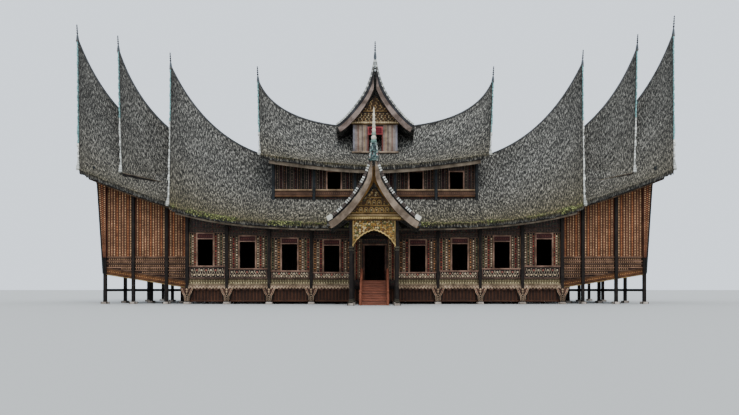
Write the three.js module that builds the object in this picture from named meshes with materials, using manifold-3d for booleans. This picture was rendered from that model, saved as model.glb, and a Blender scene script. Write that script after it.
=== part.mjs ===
// Rumah gadang, a great house with horned thatch roofs, as a half-scale model.
// Lengths below are metres of the full-size house; MODEL turns them into model millimetres.
// +X runs along the ridge, +Y from the entrance to the rear, +Z up. The front wall of the
// hall stands at y = 0 and the ground at z = 0 until the finished group is centred.
import * as THREE from 'three';
import Module from 'manifold-3d';
import { mergeVertices } from 'three/addons/utils/BufferGeometryUtils.js';

const MODEL = 500;
const GAP = 0.0006;
const GROWTH = 0.0002;
const BELOW = -1;
const SKY = 40;

// Plan of the hall and its raised wings
const HALL_HALF = 17.9;
const HALL_DEPTH = 16;
const RIDGE_Y = HALL_DEPTH / 2;
const BAY = 4;
const WING_SETBACK = 0.8;
const WING_END_FOOT = 26.05;
const WING_LEAN = 0.065;
const WALL = 0.14;
const POST = 0.28;

// Heights
const FLOOR_TOP = 2.2;
const FLOOR_THICK = 0.25;
const HALL_WALL_FOOT = 1.8;
const SILL_BEAM_TOP = 1.7;
const WING_FLOOR_TOP = 3.05;
const WING_INNER_FOOT = 1.6;
const WING_END_FLOOR = 2.92;
const GABLE_FOOT = 12;

// Roof form: how hollow the slopes hang, and the depth of the thatch measured upright. It
// deepens towards a horn, and a small roof's edge is deeper still by its barge boards.
const MAIN_HOLLOW = 1.35;
const UPPER_HOLLOW = 1.6;
const SMALL_HOLLOW = 1.25;
const THATCH = 0.42;
const HORN_THATCH = 1.5;
const BARGE_DEPTHS = [1.3, 0.75];

// Upper storey and top room
const UPPER_HALF = 10.3;
const UPPER_FRONT = 3;
const UPPER_FOOT = 10;
const UPPER_WINDOW = [11.3, 13.15];
const TOP_HALF = 2.28;
const TOP_FRONT = 5;

// Porch
const PORCH_POST_X = 2;
const PORCH_POST_Y = -5;
const PORCH_POST_TOP = 7.38;
const STAIR_HALF = 1.12;
const STAIR_TOP_Y = -1.7;
const STEPS = 10;
const TREAD = 0.33;

const wasm = await Module();
wasm.setup();

const COLOURS = {
  thatch: [0x5a5550, 0.95, 0],
  panel: [0x96603a, 0.8, 0],
  carved: [0x503c30, 0.8, 0],
  post: [0x283229, 0.6, 0],
  screen: [0x4b2d28, 0.85, 0],
  board: [0x6e5040, 0.85, 0],
  gold: [0xaa8c50, 0.6, 0],
  finial: [0x8c9296, 0.4, 0.8],
  stair: [0x96503c, 0.75, 0],
};

const parts = new THREE.Group();

// Solids and booleans
function toSolid(geometry) {
  const bare = new THREE.BufferGeometry();
  bare.setAttribute('position', geometry.getAttribute('position'));
  bare.setIndex(geometry.getIndex());
  const merged = mergeVertices(bare, 1e-5);
  const mesh = new wasm.Mesh({
    numProp: 3,
    vertProperties: Float32Array.from(merged.getAttribute('position').array),
    triVerts: Uint32Array.from(merged.getIndex().array),
  });
  return new wasm.Manifold(mesh);
}

function toGeometry(solid) {
  const mesh = solid.getMesh();
  const geometry = new THREE.BufferGeometry();
  geometry.setAttribute('position', new THREE.BufferAttribute(mesh.vertProperties, 3));
  geometry.setIndex(new THREE.BufferAttribute(mesh.triVerts, 1));
  return geometry;
}

function join(solids) {
  return solids.reduce((whole, solid) => whole.add(solid));
}

function cutAll(solid, cutters) {
  return cutters.reduce((rest, cutter) => rest.subtract(cutter), solid);
}

// The largest of the bodies that a cut leaves
function largest(solid) {
  const bodies = solid.decompose();
  return bodies.reduce((best, body) => (body.volume() > best.volume() ? body : best));
}

function addPart(name, colour, solid) {
  const [hex, roughness, metalness] = COLOURS[colour];
  const material = new THREE.MeshStandardMaterial({ color: hex, roughness, metalness });
  const geometry = toGeometry(largest(solid));
  geometry.scale(MODEL, MODEL, MODEL);
  geometry.computeVertexNormals();
  const mesh = new THREE.Mesh(geometry, material);
  mesh.name = name;
  parts.add(mesh);
}

function box([x0, x1], [y0, y1], [z0, z1]) {
  const geometry = new THREE.BoxGeometry(Math.abs(x1 - x0), y1 - y0, z1 - z0);
  geometry.translate((x0 + x1) / 2, (y0 + y1) / 2, (z0 + z1) / 2);
  return toSolid(geometry);
}

// A flat outline [across, up] made into a slab between two depths along Y
function slabAlongY(outline, y0, y1) {
  const shape = new THREE.Shape(outline.map(([x, z]) => new THREE.Vector2(x, z)));
  const geometry = new THREE.ExtrudeGeometry(shape, { depth: y1 - y0, bevelEnabled: false });
  geometry.rotateX(Math.PI / 2);
  geometry.translate(0, y1, 0);
  return toSolid(geometry);
}

// A flat outline [x, z] of a slab that leans with height, seen along Y, from y0 to y1
function leaningSlab(side, foot, top, thickness, [y0, y1]) {
  const outline = [
    [foot[0] - thickness, foot[1]],
    [foot[0], foot[1]],
    [top[0], top[1]],
    [top[0] - thickness, top[1]],
  ];
  return slabAlongY(outline.map(([x, z]) => [side * x, z]), y0, y1);
}

// Curves and surfaces
function bezier([start, control, end], v) {
  const w = 1 - v;
  return [0, 1].map((i) => w * w * start[i] + 2 * w * v * control[i] + v * v * end[i]);
}

function mix(a, b, t) {
  return a + (b - a) * t;
}

// Evenly spaced parameters, and the same with a hair's breadth more at both ends
function steps(from, to, count) {
  return Array.from({ length: count + 1 }, (_, i) => mix(from, to, i / count));
}

function grown(values) {
  return [values[0] - GROWTH, ...values, values[values.length - 1] + GROWTH];
}

// A height-field solid: a top grid over u and t, closed by a bottom grid of the same plan
function closedGrid(top, bottom, us, ts) {
  const positions = [];
  const indices = [];
  const nu = us.length - 1;
  const nt = ts.length - 1;
  for (const face of [top, bottom]) {
    for (const u of us) {
      for (const t of ts) {
        positions.push(...face(u, t));
      }
    }
  }
  const at = (layer, i, j) => layer * (nu + 1) * (nt + 1) + i * (nt + 1) + j;
  const quad = (a, b, c, d) => indices.push(a, b, c, a, c, d);
  for (let i = 0; i < nu; i += 1) {
    for (let j = 0; j < nt; j += 1) {
      quad(at(0, i, j), at(0, i + 1, j), at(0, i + 1, j + 1), at(0, i, j + 1));
      quad(at(1, i, j), at(1, i, j + 1), at(1, i + 1, j + 1), at(1, i + 1, j));
    }
    quad(at(0, i, 0), at(1, i, 0), at(1, i + 1, 0), at(0, i + 1, 0));
    quad(at(0, i, nt), at(0, i + 1, nt), at(1, i + 1, nt), at(1, i, nt));
  }
  for (let j = 0; j < nt; j += 1) {
    quad(at(0, 0, j), at(0, 0, j + 1), at(1, 0, j + 1), at(1, 0, j));
    quad(at(0, nu, j), at(1, nu, j), at(1, nu, j + 1), at(0, nu, j + 1));
  }
  const geometry = new THREE.BufferGeometry();
  geometry.setAttribute('position', new THREE.Float32BufferAttribute(positions, 3));
  geometry.setIndex(indices);
  const solid = toSolid(geometry);
  return solid.volume() > 0 ? solid : toSolid(flipped(geometry));
}

function flipped(geometry) {
  const index = Array.from(geometry.getIndex().array);
  for (let i = 0; i < index.length; i += 3) {
    [index[i], index[i + 1]] = [index[i + 1], index[i]];
  }
  geometry.setIndex(index);
  return geometry;
}

// Saddle roofs. The ridge is a curve [along, height] that sweeps up to the horn. The eave
// gives [along, height] at the same share v of the length. Between them the slope hangs
// hollow: height = eave + (ridge - eave) * (1 - t) ^ hollow, with t = 0 on the ridge.
// A small roof also has a spike, height * v ^ 6 * (1 - t) ^ sharpness, at its gable end.
// A two-ended roof runs from v = -1 to 1 and mirrors its form about v = 0.
function saddle({ ridge, eave, middle, half, hollow, place, spike = [0, 1], twoEnded = false }) {
  return (v, t) => {
    const share = twoEnded ? Math.abs(v) : v;
    const way = twoEnded && v < 0 ? -1 : 1;
    const slope = Math.abs(t);
    const rise = Math.max(0, 1 - slope);
    const [ridgeAlong, ridgeUp] = bezier(ridge, share);
    const [eaveAlong, eaveUp] = eave(share);
    const along = mix(ridgeAlong, eaveAlong, slope) * way;
    const [height, sharpness] = spike;
    const up = eaveUp + (ridgeUp - eaveUp) * rise ** hollow + height * share ** 6 * rise ** sharpness;
    return place(along, middle + t * half(share), up);
  };
}

// The form of the right end, which its makers took a little further and higher
function sided({ rightTip = [0, 0], rightEave = 0, ...form }, side) {
  if (side < 0) {
    return form;
  }
  const [start, control, tip] = form.ridge;
  const eave = (v) => {
    const [along, up] = form.eave(v);
    return [along + rightEave * v, up];
  };
  return { ...form, eave, ridge: [start, control, [tip[0] + rightTip[0], tip[1] + rightTip[1]]] };
}

function lowered(surface, drop) {
  return (v, t) => {
    const [x, y, z] = surface(v, t);
    return [x, y, z - drop(v, t)];
  };
}

function flattened(surface, level) {
  return (v, t) => {
    const [x, y] = surface(v, t);
    return [x, y, level];
  };
}

function deepening(atRidge, atEave) {
  return (v, t) => mix(THATCH, mix(atRidge, atEave, Math.abs(t) ** 0.8), Math.abs(v) ** 4);
}

const hornDrop = deepening(HORN_THATCH, THATCH);
const bargeDrop = deepening(...BARGE_DEPTHS);

// The shell of a roof, the space below its thatch, its whole bulk down to the ground, and
// the shell a little larger all round, which cuts what the thatch rests on
function roof(surface, us, ts = steps(-1, 1, 8), { drop = hornDrop, underUs = us } = {}) {
  const bottom = (v, t) => drop(v, t) + GAP;
  const top = lowered(surface, () => -GAP);
  return {
    shell: closedGrid(surface, lowered(surface, drop), us, ts),
    under: closedGrid(lowered(surface, bottom), flattened(surface, BELOW), underUs, ts),
    filled: closedGrid(top, flattened(surface, BELOW), grown(us), grown(ts)),
    wrapped: closedGrid(top, lowered(surface, bottom), grown(us), grown(ts)),
  };
}

const alongX = (side) => (along, across, up) => [side * along, across, up];
const alongY = (start, way) => (along, across, up) => [across, start + way * along, up];

function lowerEaveHeight(x) {
  return 7.54 + 1.75 * (Math.abs(x) / 19.2) ** 3.5;
}

const EAVE_HALF_HALL = RIDGE_Y + 1.5;
const EAVE_HALF_WING = RIDGE_Y - WING_SETBACK + 1.5;

const OUTER_FORM = {
  ridge: [[18, 15.5], [28.2, 17.6], [32.45, 28.9]],
  eave: (v) => bezier([[17, 8.95], [22, 10.35], [27.7, 12.7]], v),
  rightTip: [0, 0.6],
  rightEave: 0.35,
  middle: RIDGE_Y,
  half: () => EAVE_HALF_WING,
  hollow: MAIN_HOLLOW,
};
const MIDDLE_FORM = {
  ridge: [[16, 15.4], [25, 18.4], [28, 27.75]],
  eave: (v) => bezier([[15.5, 10.8], [20.5, 12.2], [24.55, 12.8]], v),
  rightTip: [0.5, 0.15],
  rightEave: 0.55,
  middle: RIDGE_Y,
  half: (v) => mix(2.1, 6.8, v),
  hollow: MAIN_HOLLOW,
};
const INNER_START = UPPER_HALF + GAP;
const INNER_RIDGE_START = 15.6;
const INNER_FORM = {
  ridge: [[INNER_START, INNER_RIDGE_START], [18.2, 17.1], [22.3, 25.9]],
  eave: (v) => {
    const x = mix(INNER_START, 19, v);
    return [x, lowerEaveHeight(x)];
  },
  rightTip: [0.25, 0.3],
  rightEave: 0.35,
  middle: RIDGE_Y,
  half: () => EAVE_HALF_HALL,
  hollow: MAIN_HOLLOW,
};
const UPPER_FORM = {
  ridge: [[0, 19.05], [10.9, 19], [12.8, 24.4]],
  eave: (v) => [11.2 * v, 13.65 + 1.12 * v ** 1.6],
  middle: RIDGE_Y,
  half: () => RIDGE_Y - UPPER_FRONT + 1.2,
  hollow: UPPER_HOLLOW,
};
const TOP_FORM = {
  ridge: [[0, 21.4], [3.1, 21.4], [3.9, 22.95]],
  eave: (v) => [3.6 * v, 17.55 + 0.82 * v ** 2],
  middle: 0,
  half: () => 4,
  hollow: SMALL_HOLLOW,
  spike: [2.5, 8],
};
const PORCH_FORM = {
  ridge: [[-3, 9.8], [4.4, 9.3], [6.6, 11.5]],
  eave: (v) => [mix(-3, 5.8, v), 7.15 + 0.28 * v ** 2],
  middle: 0,
  half: () => 4,
  hollow: SMALL_HOLLOW,
  spike: [2, 6],
};

// The lower roof where the upper storey stands in it: the slope stops at the storey's wall
function skirtSurface(way) {
  return (u, t) => {
    const x = u * UPPER_HALF;
    const eaveUp = lowerEaveHeight(x);
    const up = eaveUp + (INNER_RIDGE_START - eaveUp) * Math.max(0, 1 - t) ** MAIN_HOLLOW;
    return [x, RIDGE_Y + way * t * EAVE_HALF_HALL, up];
  };
}

const SKIRT_TOP = (RIDGE_Y - UPPER_FRONT + GAP) / EAVE_HALF_HALL;
const LENGTH_STEPS = 7;
const horned = (form, side) => roof(saddle({ ...form, place: alongX(side) }), steps(0, 1, LENGTH_STEPS));

// Shares of a small roof's half width, closer together near its spike
const SMALL_TS = [0.1, 0.22, 0.4, 0.62, 0.82, 1];
const smallTs = [...SMALL_TS.map((t) => -t).reverse(), 0, ...SMALL_TS];

function skirt(way) {
  const us = steps(-1, 1, 8);
  return roof(skirtSurface(way), us, steps(SKIRT_TOP, 1, 4), { drop: () => THATCH, underUs: grown(us) });
}

function gablePlane(side, foot, top, thickness = WALL) {
  return leaningSlab(side, foot, top, thickness, [-3, HALL_DEPTH + 3]);
}

// Everything on the house's side of a leaning gable plane, or of one set back from it
function behindGable(side, [foot, top], setBack = 0) {
  const ends = [foot, top].map(([x, z]) => [x - setBack, z]);
  return leaningSlab(side, ...ends, 60, [-6, HALL_DEPTH + 6]);
}

const INNER_GABLE = [[17.95, 6], [22.15, 27]];
const MIDDLE_GABLE = [[22.3, 8], [27.4, 28]];
const OUTER_GABLE = [[26.7, GABLE_FOOT], [31.45, 30]];

const upperRoof = roof(saddle({ ...UPPER_FORM, place: alongX(1), twoEnded: true }), steps(-1, 1, 12));
const topSaddle = saddle({ ...TOP_FORM, place: alongY(RIDGE_Y, -1), twoEnded: true });
const topRoof = roof(topSaddle, steps(-1, 1, 10), smallTs, { drop: bargeDrop });
const porchSaddle = saddle({ ...PORCH_FORM, place: alongY(0, -1) });
const porchRoof = roof(porchSaddle, steps(0, 1, 7), smallTs, { drop: bargeDrop });
const frontSkirt = skirt(-1);
const rearSkirt = skirt(1);
const hallUnder = [frontSkirt, rearSkirt];

// Finials: a cone that rises from a horn's tip and leans out a little with it
const FINIAL_LEAN = 0.08;
const FINIAL_FOOT = 0.7;
const FINIAL_RADIUS = 0.2;
const FINIAL_HEIGHT = 1.35;

function turned(profile, [x, y, z], lean, roofs) {
  const points = profile.map(([r, up]) => new THREE.Vector2(r, up));
  const geometry = new THREE.LatheGeometry(points, 6);
  geometry.rotateX(Math.PI / 2);
  geometry.rotateY(lean);
  geometry.translate(x, y, z);
  return cutAll(toSolid(geometry), roofs.map((each) => each.filled));
}

function finial(tip, height, lean, roofs) {
  const profile = [
    [0, -FINIAL_FOOT],
    [FINIAL_RADIUS, -FINIAL_FOOT],
    [FINIAL_RADIUS, 0],
    [FINIAL_RADIUS * 0.5, height * 0.2],
    [FINIAL_RADIUS * 0.6, height * 0.4],
    [FINIAL_RADIUS * 0.25, height * 0.7],
    [0, height],
  ];
  return turned(profile, tip, lean, roofs);
}

// The finial on the horn of a roof along X, where its ridge ends
function hornFinial({ ridge: [, , [along, up]] }, side, height, above) {
  return finial([side * along, RIDGE_Y, up], height, side * FINIAL_LEAN, [above]);
}

// Horned roofs of one end, from the outermost inwards
function buildEnd(side, name) {
  const forms = [OUTER_FORM, MIDDLE_FORM, INNER_FORM].map((form) => sided(form, side));
  const [outer, middle, inner] = forms.map((form) => horned(form, side));
  hallUnder.push(inner);
  const hall = behindGable(side, INNER_GABLE);
  const keptBulk = behindGable(side, INNER_GABLE, GAP);
  const outerBulk = outer.filled.subtract(keptBulk);
  const middleBulk = middle.filled.subtract(keptBulk);
  const outerShell = outer.shell.subtract(hall);
  const middleShell = cutAll(middle.shell, [outerBulk, hall]);
  const innerShell = cutAll(inner.shell, [outerBulk, middleBulk]);
  addPart(`${name}_outer_roof`, 'thatch', outerShell);
  addPart(`${name}_middle_roof`, 'thatch', middleShell);
  addPart(`${name}_inner_roof`, 'thatch', innerShell);
  const middleGable = gablePlane(side, ...MIDDLE_GABLE).intersect(middle.under);
  addPart(`${name}_middle_gable`, 'panel', middleGable.subtract(outer.filled));
  const innerGable = gablePlane(side, ...INNER_GABLE).intersect(inner.under);
  const insideGable = leaningSlab(side, [INNER_GABLE[0][0] - GAP, 6], [INNER_GABLE[1][0] - GAP, 27],
    WALL, [-3, HALL_DEPTH + 3]);
  addPart(`${name}_inner_gable`, 'panel',
    cutAll(innerGable.intersect(insideGable), [outer.filled, middle.filled]));
  const outerHeight = side < 0 ? 1.4 : 1.8;
  addPart(`${name}_outer_finial`, 'finial', hornFinial(forms[0], side, outerHeight, outer));
  addPart(`${name}_middle_finial`, 'finial', hornFinial(forms[1], side, FINIAL_HEIGHT, middle));
  addPart(`${name}_inner_finial`, 'finial', hornFinial(forms[2], side, FINIAL_HEIGHT, inner));
  buildWing(side, name, outer);
}

// A wing: walls of carved panels on a raised frame, with the tall gable in its end wall

function buildWing(side, name, outer) {
  const end = (z) => WING_END_FOOT + WING_LEAN * (z - WING_FLOOR_TOP);
  const front = WING_SETBACK;
  const rear = HALL_DEPTH - WING_SETBACK;
  const start = HALL_HALF + GAP;
  const gableLean = (OUTER_GABLE[1][0] - OUTER_GABLE[0][0]) / (OUTER_GABLE[1][1] - OUTER_GABLE[0][1]);
  const wallOutline = [
    [start, WING_INNER_FOOT],
    [end(WING_END_FLOOR) - WALL - GAP, WING_END_FLOOR],
    [end(GABLE_FOOT) - WALL - GAP, GABLE_FOOT],
    [OUTER_GABLE[0][0] + 2 * gableLean - WALL - GAP, GABLE_FOOT + 2],
    [start, GABLE_FOOT + 2],
  ].map(([x, z]) => [side * x, z]);
  const frontWall = slabAlongY(wallOutline, front, front + WALL);
  const rearWall = slabAlongY(wallOutline, rear - WALL, rear);
  addPart(`${name}_wing_front_wall`, 'panel', frontWall.intersect(outer.under));
  addPart(`${name}_wing_rear_wall`, 'panel', rearWall.intersect(outer.under));
  const endWall = leaningSlab(side, [end(WING_END_FLOOR), WING_END_FLOOR], [end(GABLE_FOOT), GABLE_FOOT], WALL, [front, rear]);
  const gable = gablePlane(side, ...OUTER_GABLE).intersect(outer.under);
  const gableFoot = leaningSlab(side, [end(GABLE_FOOT - 0.1), GABLE_FOOT - 0.1],
    [OUTER_GABLE[0][0] + 0.1, GABLE_FOOT + 0.1], WALL, [front, rear]);
  addPart(`${name}_end_wall`, 'panel', join([endWall, gableFoot, gable]).intersect(outer.under));
  buildWingFrame(side, name, outer);
}

function buildWingFrame(side, name, outer) {
  const front = WING_SETBACK - GAP;
  const rear = HALL_DEPTH - WING_SETBACK + GAP;
  const lines = [20, 23.2, WING_END_FOOT - POST / 2];
  const pieces = [];
  for (const x of lines) {
    const span = [side * (x - POST / 2), side * (x + POST / 2)];
    pieces.push(box(span, [front - POST, front], [0, SKY]));
    pieces.push(box(span, [rear, rear + POST], [0, SKY]));
    pieces.push(box(span, [front - POST, rear + POST], [1.2, 1.45]));
    for (const y of [RIDGE_Y - 3, RIDGE_Y + 3]) {
      pieces.push(box(span, [y - POST / 2, y + POST / 2], [0, WING_FLOOR_TOP - 0.19]));
    }
    for (const y of [front - POST / 2, RIDGE_Y - 3, RIDGE_Y + 3, rear + POST / 2]) {
      pieces.push(box([side * (x - 0.3), side * (x + 0.3)], [y - 0.3, y + 0.3], [0, 0.2]));
    }
  }
  const floorSpan = [side * (HALL_HALF + GAP), side * (WING_END_FOOT - WALL - 0.01)];
  const inFront = WING_SETBACK + WALL + GAP;
  pieces.push(box(floorSpan, [inFront, HALL_DEPTH - inFront], [WING_FLOOR_TOP - 0.2, WING_FLOOR_TOP]));
  addPart(`${name}_wing_frame`, 'post', join(pieces).intersect(outer.under));
}

for (const [side, name] of [[-1, 'left'], [1, 'right']]) {
  buildEnd(side, name);
}

// Hall walls, with the eye-level windows that climb towards the ends
const WINDOW_HALF = 0.73;
const WINDOWS = [1, 2, 3, 4].map((bay) => (bay + 0.02) * BAY);

function windowSill(x) {
  return 3.05 + 0.6 * (Math.max(Math.abs(x) - BAY, 0) / 12) ** 1.3;
}

function windowHole(x, [y0, y1], height = 2.5) {
  const sill = windowSill(x);
  return box([x - WINDOW_HALF, x + WINDOW_HALF], [y0, y1], [sill, sill + height]);
}

// All the space below the lower roofs
const hallSpace = join(hallUnder.map((each) => each.under));

function hallWall(xs, [y0, y1], windows) {
  const slab = box(xs, [y0, y1], [HALL_WALL_FOOT, SKY]);
  const cut = cutAll(slab, windows.map((x) => windowHole(x, [y0 - 1, y1 + 1])));
  return cut.intersect(hallSpace);
}

const DOOR_HALF = 0.95;
const DOOR_TOP = 5.55;
const ENTRANCE_HALF = BAY / 2;
const frontSpan = [0, WALL];
const rearSpan = [HALL_DEPTH - WALL, HALL_DEPTH];
addPart('front_wall_left', 'carved',
  hallWall([-HALL_HALF, -ENTRANCE_HALF - GAP], frontSpan, WINDOWS.map((x) => -x)));
addPart('front_wall_right', 'carved', hallWall([ENTRANCE_HALF + GAP, HALL_HALF], frontSpan, WINDOWS));
const doorway = box([-DOOR_HALF, DOOR_HALF], [-1, 1], [FLOOR_TOP, DOOR_TOP]);
addPart('entrance_wall', 'carved',
  hallWall([-ENTRANCE_HALF, ENTRANCE_HALF], frontSpan, []).subtract(doorway));
addPart('rear_wall', 'carved',
  hallWall([-HALL_HALF, HALL_HALF], rearSpan, [...WINDOWS, ...WINDOWS.map((x) => -x)]));

// Posts in front of the walls, on footing stones, with V-shaped brackets and a sill beam
const POST_LINES = [1.5, 2.5, 3.5].map((bay) => bay * BAY).concat([HALL_HALF - POST / 2]);

function bracket(x, y0, y1) {
  const outline = [[x - 0.3, 0.45], [x + 0.3, 0.45], [x + 0.6, 1.45], [x - 0.6, 1.45]];
  return slabAlongY(outline, y0, y1);
}

function postRow(y0, y1) {
  const pieces = [box([-HALL_HALF, HALL_HALF], [y0 + 0.06, y1 - 0.06], [1.43, SILL_BEAM_TOP])];
  for (const x of [...POST_LINES, ...POST_LINES.map((each) => -each)]) {
    pieces.push(box([x - POST / 2, x + POST / 2], [y0, y1], [0, SKY]));
    pieces.push(box([x - 0.3, x + 0.3], [y0 - 0.1, y1 + 0.1], [0, 0.2]));
    pieces.push(bracket(x, y0 + 0.05, y1 - 0.05));
  }
  return join(pieces).intersect(hallSpace);
}

addPart('front_posts', 'post', postRow(-GAP - POST, -GAP));
addPart('rear_posts', 'post', postRow(HALL_DEPTH + GAP, HALL_DEPTH + GAP + POST));
const screenSpan = [-HALL_HALF + 0.1, HALL_HALF - 0.1];
const screenHeight = [0.21, HALL_WALL_FOOT - GAP];
addPart('front_screen', 'screen', box(screenSpan, [0.02, 0.1], screenHeight));
addPart('rear_screen', 'screen', box(screenSpan, [HALL_DEPTH - 0.1, HALL_DEPTH - 0.02], screenHeight));

// Columns that carry the floor and the upper storey
function columnRow(y) {
  const span = [y - POST / 2, y + POST / 2];
  const pieces = [box([-17, 17], span, [1.65, FLOOR_TOP - FLOOR_THICK - GAP])];
  pieces.push(box([-10.2, 10.2], span, [UPPER_FOOT - 0.3, UPPER_FOOT - GAP]));
  for (const x of [2, 6, 10, 14, 17 - POST / 2].flatMap((each) => [-each, each])) {
    const top = Math.abs(x) < 11 ? UPPER_FOOT - 0.2 : FLOOR_TOP - FLOOR_THICK - GAP;
    pieces.push(box([x - POST / 2, x + POST / 2], span, [0, top]));
  }
  return join(pieces);
}

function columnHoles(y) {
  const reach = POST / 2 + GAP;
  return [2, 6, 10].flatMap((each) => [-each, each])
    .map((x) => box([x - reach, x + reach], [y - reach, y + reach], [0, UPPER_FOOT]));
}

const COLUMN_YS = [UPPER_FRONT + POST / 2, HALL_DEPTH - UPPER_FRONT - POST / 2];
addPart('front_columns', 'post', columnRow(COLUMN_YS[0]));
addPart('rear_columns', 'post', columnRow(COLUMN_YS[1]));
const hallFloor = box([-HALL_HALF, HALL_HALF], [WALL + GAP, HALL_DEPTH - WALL - GAP],
  [FLOOR_TOP - FLOOR_THICK, FLOOR_TOP]);
addPart('hall_floor', 'board', cutAll(hallFloor, COLUMN_YS.flatMap(columnHoles)));

// Upper storey
const UPPER_REAR = HALL_DEPTH - UPPER_FRONT;
const UPPER_WINDOWS = [-4.1, 4.1, 8.15];

function upperWall([y0, y1], windows) {
  const slab = box([-UPPER_HALF, UPPER_HALF], [y0, y1], [UPPER_FOOT, SKY]);
  const holes = windows.map((x) => box([x - 0.68, x + 0.68], [y0 - 1, y1 + 1], UPPER_WINDOW));
  return cutAll(slab, holes).intersect(upperRoof.under);
}

addPart('upper_front_wall', 'carved', upperWall([UPPER_FRONT, UPPER_FRONT + WALL], UPPER_WINDOWS));
addPart('upper_rear_wall', 'carved', upperWall([UPPER_REAR - WALL, UPPER_REAR], UPPER_WINDOWS));
const inUpper = [UPPER_FRONT + WALL + GAP, UPPER_REAR - WALL - GAP];
for (const [side, name] of [[-1, 'left'], [1, 'right']]) {
  const slab = box([side * (UPPER_HALF - WALL), side * UPPER_HALF], inUpper, [UPPER_FOOT, SKY]);
  addPart(`upper_${name}_gable`, 'panel', slab.intersect(upperRoof.under));
  addPart(`upper_${name}_finial`, 'finial', hornFinial(UPPER_FORM, side, FINIAL_HEIGHT, upperRoof));
}
const upperIn = UPPER_HALF - WALL - GAP;
addPart('upper_floor', 'board', box([-upperIn, upperIn], inUpper, [UPPER_FOOT, UPPER_FOOT + 0.2]));

// Top room astride the upper ridge, with its own horned roof
const TOP_REAR = HALL_DEPTH - TOP_FRONT;

function topWalls() {
  const outside = box([-TOP_HALF, TOP_HALF], [TOP_FRONT, TOP_REAR], [12, SKY]);
  const inside = box([-TOP_HALF + WALL, TOP_HALF - WALL], [TOP_FRONT + WALL, TOP_REAR - WALL], [11, SKY]);
  const hole = box([-0.66, 0.66], [TOP_FRONT - 2, TOP_REAR + 2], [15.55, 18.15]);
  const ring = outside.subtract(inside).subtract(hole);
  return ring.subtract(upperRoof.filled).intersect(topRoof.under);
}

const topRing = topWalls();
const frontHalf = box([-SKY, SKY], [-SKY, RIDGE_Y], [BELOW, SKY]);
addPart('top_room_front_walls', 'carved', topRing.intersect(frontHalf));
addPart('top_room_rear_walls', 'carved', topRing.subtract(frontHalf));
addPart('upper_roof', 'thatch', upperRoof.shell);
addPart('top_room_roof', 'thatch', topRoof.shell.subtract(upperRoof.filled));
const [topReach, topRidge] = TOP_FORM.ridge[2];
for (const [way, name] of [[-1, 'front'], [1, 'rear']]) {
  const tip = [0, RIDGE_Y + way * topReach, topRidge + TOP_FORM.spike[0]];
  addPart(`top_room_${name}_finial`, 'finial', finial(tip, FINIAL_HEIGHT, 0, [topRoof]));
}

// Skirts of the lower roof around the upper storey
addPart('front_skirt_roof', 'thatch', frontSkirt.shell);
addPart('rear_skirt_roof', 'thatch', rearSkirt.shell);

// Porch
function porchGable() {
  const shape = new THREE.Shape();
  const inner = PORCH_POST_X - POST / 2 - GAP;
  shape.moveTo(-inner, 5.1);
  shape.quadraticCurveTo(-inner + 0.5, 6.2, 0, 6.55);
  shape.quadraticCurveTo(inner - 0.5, 6.2, inner, 5.1);
  shape.lineTo(inner, PORCH_POST_TOP + GAP);
  shape.lineTo(3.2, PORCH_POST_TOP + GAP);
  shape.lineTo(0, 13);
  shape.lineTo(-3.2, PORCH_POST_TOP + GAP);
  shape.lineTo(-inner, PORCH_POST_TOP + GAP);
  const geometry = new THREE.ExtrudeGeometry(shape, { depth: WALL, bevelEnabled: false, curveSegments: 6 });
  geometry.rotateX(Math.PI / 2);
  geometry.translate(0, PORCH_POST_Y + WALL / 2, 0);
  return toSolid(geometry).intersect(porchRoof.under);
}

function porchFrame() {
  const pieces = [];
  const rearY = -1;
  for (const x of [-PORCH_POST_X, PORCH_POST_X]) {
    const span = [x - POST / 2, x + POST / 2];
    for (const y of [PORCH_POST_Y, rearY]) {
      pieces.push(box(span, [y - POST / 2, y + POST / 2], [0, PORCH_POST_TOP]));
      pieces.push(box([x - 0.3, x + 0.3], [y - 0.3, y + 0.3], [0, 0.2]));
    }
    pieces.push(box(span, [PORCH_POST_Y, rearY], [6.1, 6.35]));
  }
  pieces.push(box([-PORCH_POST_X, PORCH_POST_X], [rearY - POST / 2, rearY + POST / 2], [6.1, 6.35]));
  return join(pieces).intersect(porchRoof.under).subtract(frontSkirt.wrapped);
}

// The porch's tall spire as [radius, height], which carries the line of its gable's edge on up
const SPIRE = [
  [0, 11.6],
  [0.467, 11.6],
  [0.39, 12.4],
  [0.25, 13.3],
  [0.17, 14.5],
  [0.1, 15.5],
  [0, 16.7],
];

// A stepped flight up to a landing that meets the entrance wall over the sill beam
function porchStair() {
  const rise = FLOOR_TOP / STEPS;
  const foot = STAIR_TOP_Y - (STEPS - 1) * TREAD;
  const outline = [[-GAP, FLOOR_TOP]];
  for (let step = STEPS; step > 0; step -= 1) {
    const nosing = STAIR_TOP_Y - (STEPS - step) * TREAD;
    outline.push([nosing, step * rise], [nosing, (step - 1) * rise]);
  }
  outline.push([foot + 0.9, 0]);
  outline.push([STAIR_TOP_Y + 0.3, SILL_BEAM_TOP + GAP]);
  outline.push([-GAP, SILL_BEAM_TOP + GAP]);
  const shape = new THREE.Shape(outline.map(([y, z]) => new THREE.Vector2(y, z)));
  const geometry = new THREE.ExtrudeGeometry(shape, { depth: 2 * STAIR_HALF, bevelEnabled: false });
  geometry.rotateX(Math.PI / 2);
  geometry.rotateZ(Math.PI / 2);
  geometry.translate(-STAIR_HALF, 0, 0);
  return toSolid(geometry);
}

addPart('porch_roof', 'thatch', porchRoof.shell.subtract(frontSkirt.filled));
addPart('porch_finial', 'finial', turned(SPIRE, [0, -6.6, 0], 0, [porchRoof]));
addPart('porch_gable', 'gold', porchGable());
addPart('porch_frame', 'post', porchFrame());
addPart('porch_stair', 'stair', porchStair());

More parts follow.
